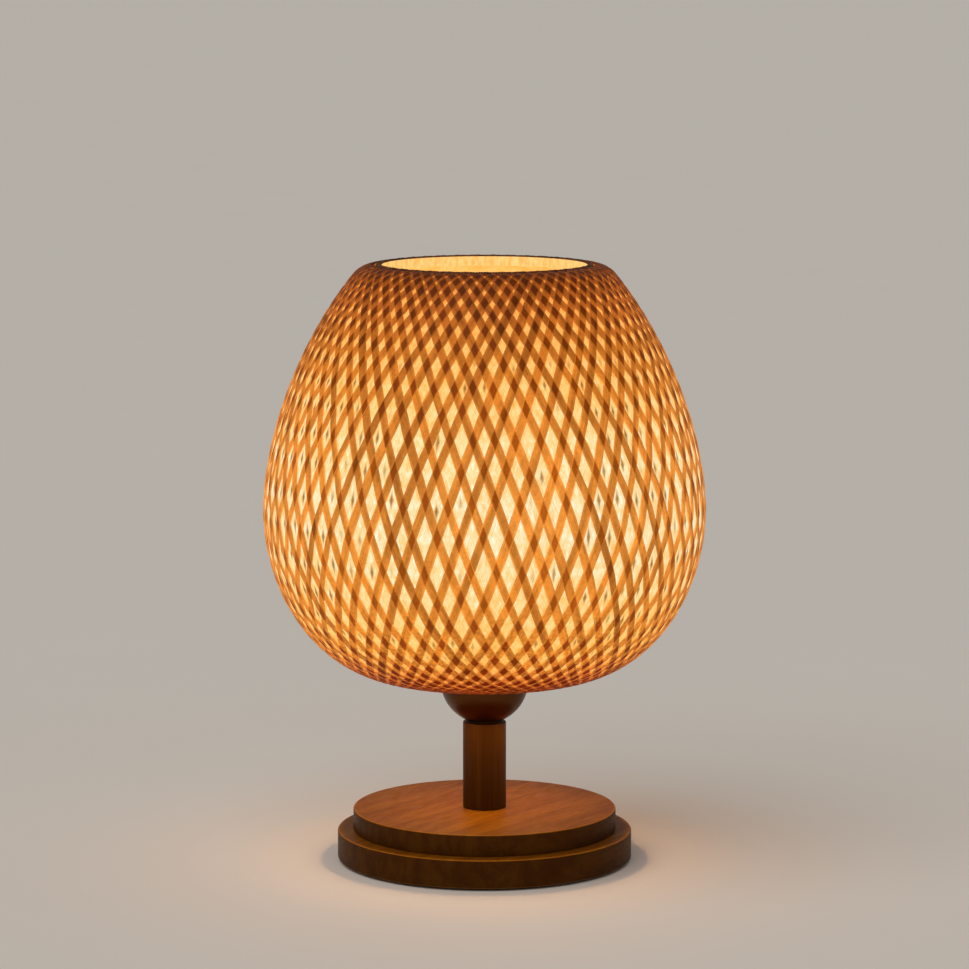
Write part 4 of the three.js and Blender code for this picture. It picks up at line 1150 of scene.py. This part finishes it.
class LAMP_OT_bulb(Operator):
    """Shape the bulb: its threaded cap, housing, frosted cover and lens"""

    bl_idname = "lamp.bulb"
    bl_label = "Bulb"

    def execute(self, context):
        light = tuple(context.scene.lamp.glow.lamp)
        self.add_cap()
        self.add_housing()
        cover = Span("bulb_diffuser")
        wall = 1.2 * MM
        middle = cover.top - cover.radius
        profile = np.concatenate([
            [[cover.radius - wall, cover.bottom], [cover.radius, cover.bottom]],
            bend(0, middle, cover.radius, 0, 90, 20)[:-1],
            [[0.02 * MM, cover.top], [0.02 * MM, cover.top - wall]],
            bend(0, middle, cover.radius - wall, 90, 0, 20)[1:],
        ])
        put(lit_finish("frosted_cover", srgb(0xF6EBD8), light, 1.5, middle, 40 * MM),
            turned("frosted_cover", profile, 96, "bulb", ["bulb_diffuser"]))
        lens = Span("bulb_led_dome")
        turn = np.radians(np.linspace(0, 90, 12))
        profile = np.concatenate([
            [[0, lens.bottom]],
            np.stack([lens.radius * np.cos(turn), lens.bottom + lens.height * np.sin(turn)], -1)[:-1],
            [[0, lens.top]],
        ])
        put(lit_finish("clear_lens", srgb(0xFFF3D0), light, 2.2, lens.bottom, 20 * MM),
            turned("clear_lens", profile, 48, "bulb", ["bulb_led_dome"], closed=False))
        return {"FINISHED"}

    def add_cap(self):
        """Thin metal cap rolled into a round thread, plain at its upper end."""
        cap = Span("bulb_cap")
        wall = 0.6 * MM
        pitch = 3.6 * MM
        heights = np.linspace(cap.bottom, cap.top, 72)
        outer = np.stack([np.full(len(heights), cap.radius), heights], -1)
        inner = np.stack([np.full(len(heights), cap.radius - wall), heights[::-1]], -1)
        threaded_top = cap.top - 4 * MM

        def thread(radius, height, turn):
            """Both walls follow the same round wave, which fades out below the plain end."""
            wave = 0.5 - 0.5 * np.cos((height / pitch - turn / TAU) * TAU)
            fade = np.clip((threaded_top - height) / pitch, 0, 1)
            return radius - fade * wave * 1.0 * MM, height

        put(metal_finish("cap_brass", srgb(0xC7A566), 0.3, (1, 1, 20)),
            turned("bulb_screw_cap", np.concatenate([outer, inner]), 96, "bulb",
                   ["bulb_cap"], shape=thread))
        insulator = Span("bulb_insulator")
        profile = [[0, insulator.bottom], [5.4 * MM, insulator.bottom],
                   [insulator.radius, insulator.top], [0, insulator.top]]
        put(moulded_finish("cap_glass", srgb(0x14120F), 0.25),
            turned("cap_insulator", profile, 64, "bulb", ["bulb_insulator"],
                   closed=False))

    def add_housing(self):
        """Flared housing with shallow upright ribs."""
        housing, cap = Span("bulb_housing"), Span("bulb_cap")
        wall = 1.5 * MM
        rise = np.linspace(0, 1, 24)
        flare = cap.radius + (housing.radius - cap.radius) * rise
        outer = np.stack([flare, housing.bottom + housing.height * rise], -1)
        profile = np.concatenate([
            outer, [[housing.radius - 3 * wall, housing.top], [cap.radius - wall, housing.bottom]]])

        def ribs(radius, height, turn):
            """Grooves between twenty-four ribs, fading out at both ends of the housing."""
            share = np.clip((height - housing.bottom) / housing.height, 0, 1)
            outside = radius >= cap.radius + (housing.radius - cap.radius) * share - 0.01 * MM
            depth = 0.5 * MM * np.sin(share * math.pi) ** 0.5 * outside
            return radius - depth * (0.5 + 0.5 * np.cos(turn * 24)) ** 3, height

        put(moulded_finish("housing_white", srgb(0xE6E2DA), 0.45),
            turned("bulb_body", profile, 192, "bulb", ["bulb_housing"], shape=ribs))


class LAMP_OT_ring(Operator):
    """Mould the shade ring with its finger grips, and its washer and the spider's hub"""

    bl_idname = "lamp.ring"
    bl_label = "Shade ring"

    def execute(self, context):
        skirt, ring, washer, hub = [Span(name) for name in
                                    ("holder_skirt", "shade_ring", "ring_washer", "spider_hub")]
        inner = skirt.radius + CLEARANCE
        edge = 0.7 * MM

        def grips(radius, height, turn):
            """Sixteen smooth notches round the outside."""
            outside = np.clip((radius - inner) / (ring.radius - inner), 0, 1)
            lobes = np.tanh(3 * np.cos(16 * turn - math.pi / 4))
            return radius - outside ** 4 * (0.5 - 0.5 * lobes) * 1.0 * MM, height

        profile = rounded_ring_profile(inner, ring.radius, ring.bottom, ring.top, edge)
        put(moulded_finish("ring_plastic", srgb(0x1B1915), 0.4),
            turned("grip_ring", profile, 256, "ring", ["shade_ring"], shape=grips))
        steel = metal_finish("zinc_steel", srgb(0x8E9092), 0.38, wear=0.5)
        fibre = felt_finish("washer_felt")
        profile = ring_profile(inner, washer.radius, washer.bottom, washer.top, 0.25 * MM, 3)
        put(fibre, turned("flat_washer", profile, 128, "ring_screw", ["ring_washer"]))
        profile = ring_profile(inner, hub.radius, hub.bottom, hub.top, 0.3 * MM, 3)
        put(steel, turned("spider_centre", profile, 128, "shade", ["spider_hub"]))
        return {"FINISHED"}


class LAMP_OT_small_parts(Operator):
    """Give the small parts that keep their own shape their finishes"""

    bl_idname = "lamp.small_parts"
    bl_label = "Small parts"

    def execute(self, context):
        steel = metal_finish("plated_steel", srgb(0x96989A), 0.36, wear=0.5)
        brass = metal_finish("brass", srgb(0xB99A55), 0.33, wear=0.3)
        put(steel, *nodes_named("base_screw_1", "base_screw_2", "base_screw_3", "threaded_tube",
                                "lower_washer", "lower_nut", "upper_nut",
                                "spider_arm_1", "spider_arm_2", "spider_arm_3"))
        put(brass, *nodes_named("terminal_screw_1", "terminal_screw_2", "centre_contact",
                                "thread_shell", "bulb_tip"))
        put(moulded_finish("porcelain", srgb(0xE4E0D6), 0.25), *nodes_named("holder_insert"))
        put(board_finish(), *nodes_named("bulb_driver_board"))
        put(metal_finish("led_plate", srgb(0xC4C6C8), 0.4), *nodes_named("bulb_led_board"))
        return {"FINISHED"}


class LAMP_OT_warm_light(Operator):
    """Add the warm light that falls from the shade's lower opening onto the base"""

    bl_idname = "lamp.warm_light"
    bl_label = "Warm light"

    def execute(self, context):
        glow = context.scene.lamp.glow
        hoop = Span("bottom_hoop")
        light = bpy.data.lights.new("under_shade", "AREA")
        light.shape = "DISK"
        light.size = 2 * (hoop.radius - 4 * MM)
        light.energy = glow.under_power
        light.color = glow.lamp
        holder = bpy.data.objects.new("under_shade", light)
        holder.location = (0, 0, hoop.bottom)
        holder.visible_camera = False
        context.scene.collection.objects.link(holder)
        return {"FINISHED"}


OPERATORS = (
    LAMP_OT_stage,
    LAMP_OT_weave,
    LAMP_OT_liner,
    LAMP_OT_hoops,
    LAMP_OT_base,
    LAMP_OT_post,
    LAMP_OT_holder,
    LAMP_OT_bulb,
    LAMP_OT_ring,
    LAMP_OT_small_parts,
    LAMP_OT_warm_light,
)


class LAMP_PT_sidebar(Panel):
    """Lists the steps that make the lamp, and their settings"""

    bl_idname = "LAMP_PT_sidebar"
    bl_label = "Table Lamp"
    bl_space_type = "VIEW_3D"
    bl_region_type = "UI"
    bl_category = "Table Lamp"

    def draw(self, context):
        for operator in OPERATORS:
            self.layout.operator(operator.bl_idname)
        for group in ("shade", "glow", "wood", "stage"):
            settings = getattr(context.scene.lamp, group)
            box = self.layout.box()
            box.label(text=group.capitalize())
            for name in settings.__annotations__:
                box.prop(settings, name)


SETTINGS = (ShadeSettings, GlowSettings, WoodSettings, StageSettings, LampSettings)
CLASSES = (*SETTINGS, *OPERATORS, LAMP_PT_sidebar)


def register():
    """Registers the classes and the scene's settings."""
    for kind in CLASSES:
        bpy.utils.register_class(kind)
    bpy.types.Scene.lamp = PointerProperty(type=LampSettings, name="Lamp", description="Lamp settings")


def unregister():
    """Removes the settings and the classes."""
    del bpy.types.Scene.lamp
    for kind in reversed(CLASSES):
        bpy.utils.unregister_class(kind)


def main():
    """Makes the lamp's looks in order."""
    register()
    bpy.ops.lamp.stage()
    bpy.ops.lamp.weave()
    bpy.ops.lamp.liner()
    bpy.ops.lamp.hoops()
    bpy.ops.lamp.base()
    bpy.ops.lamp.post()
    bpy.ops.lamp.holder()
    bpy.ops.lamp.bulb()
    bpy.ops.lamp.ring()
    bpy.ops.lamp.small_parts()
    bpy.ops.lamp.warm_light()


if __name__ == "__main__":
    main()
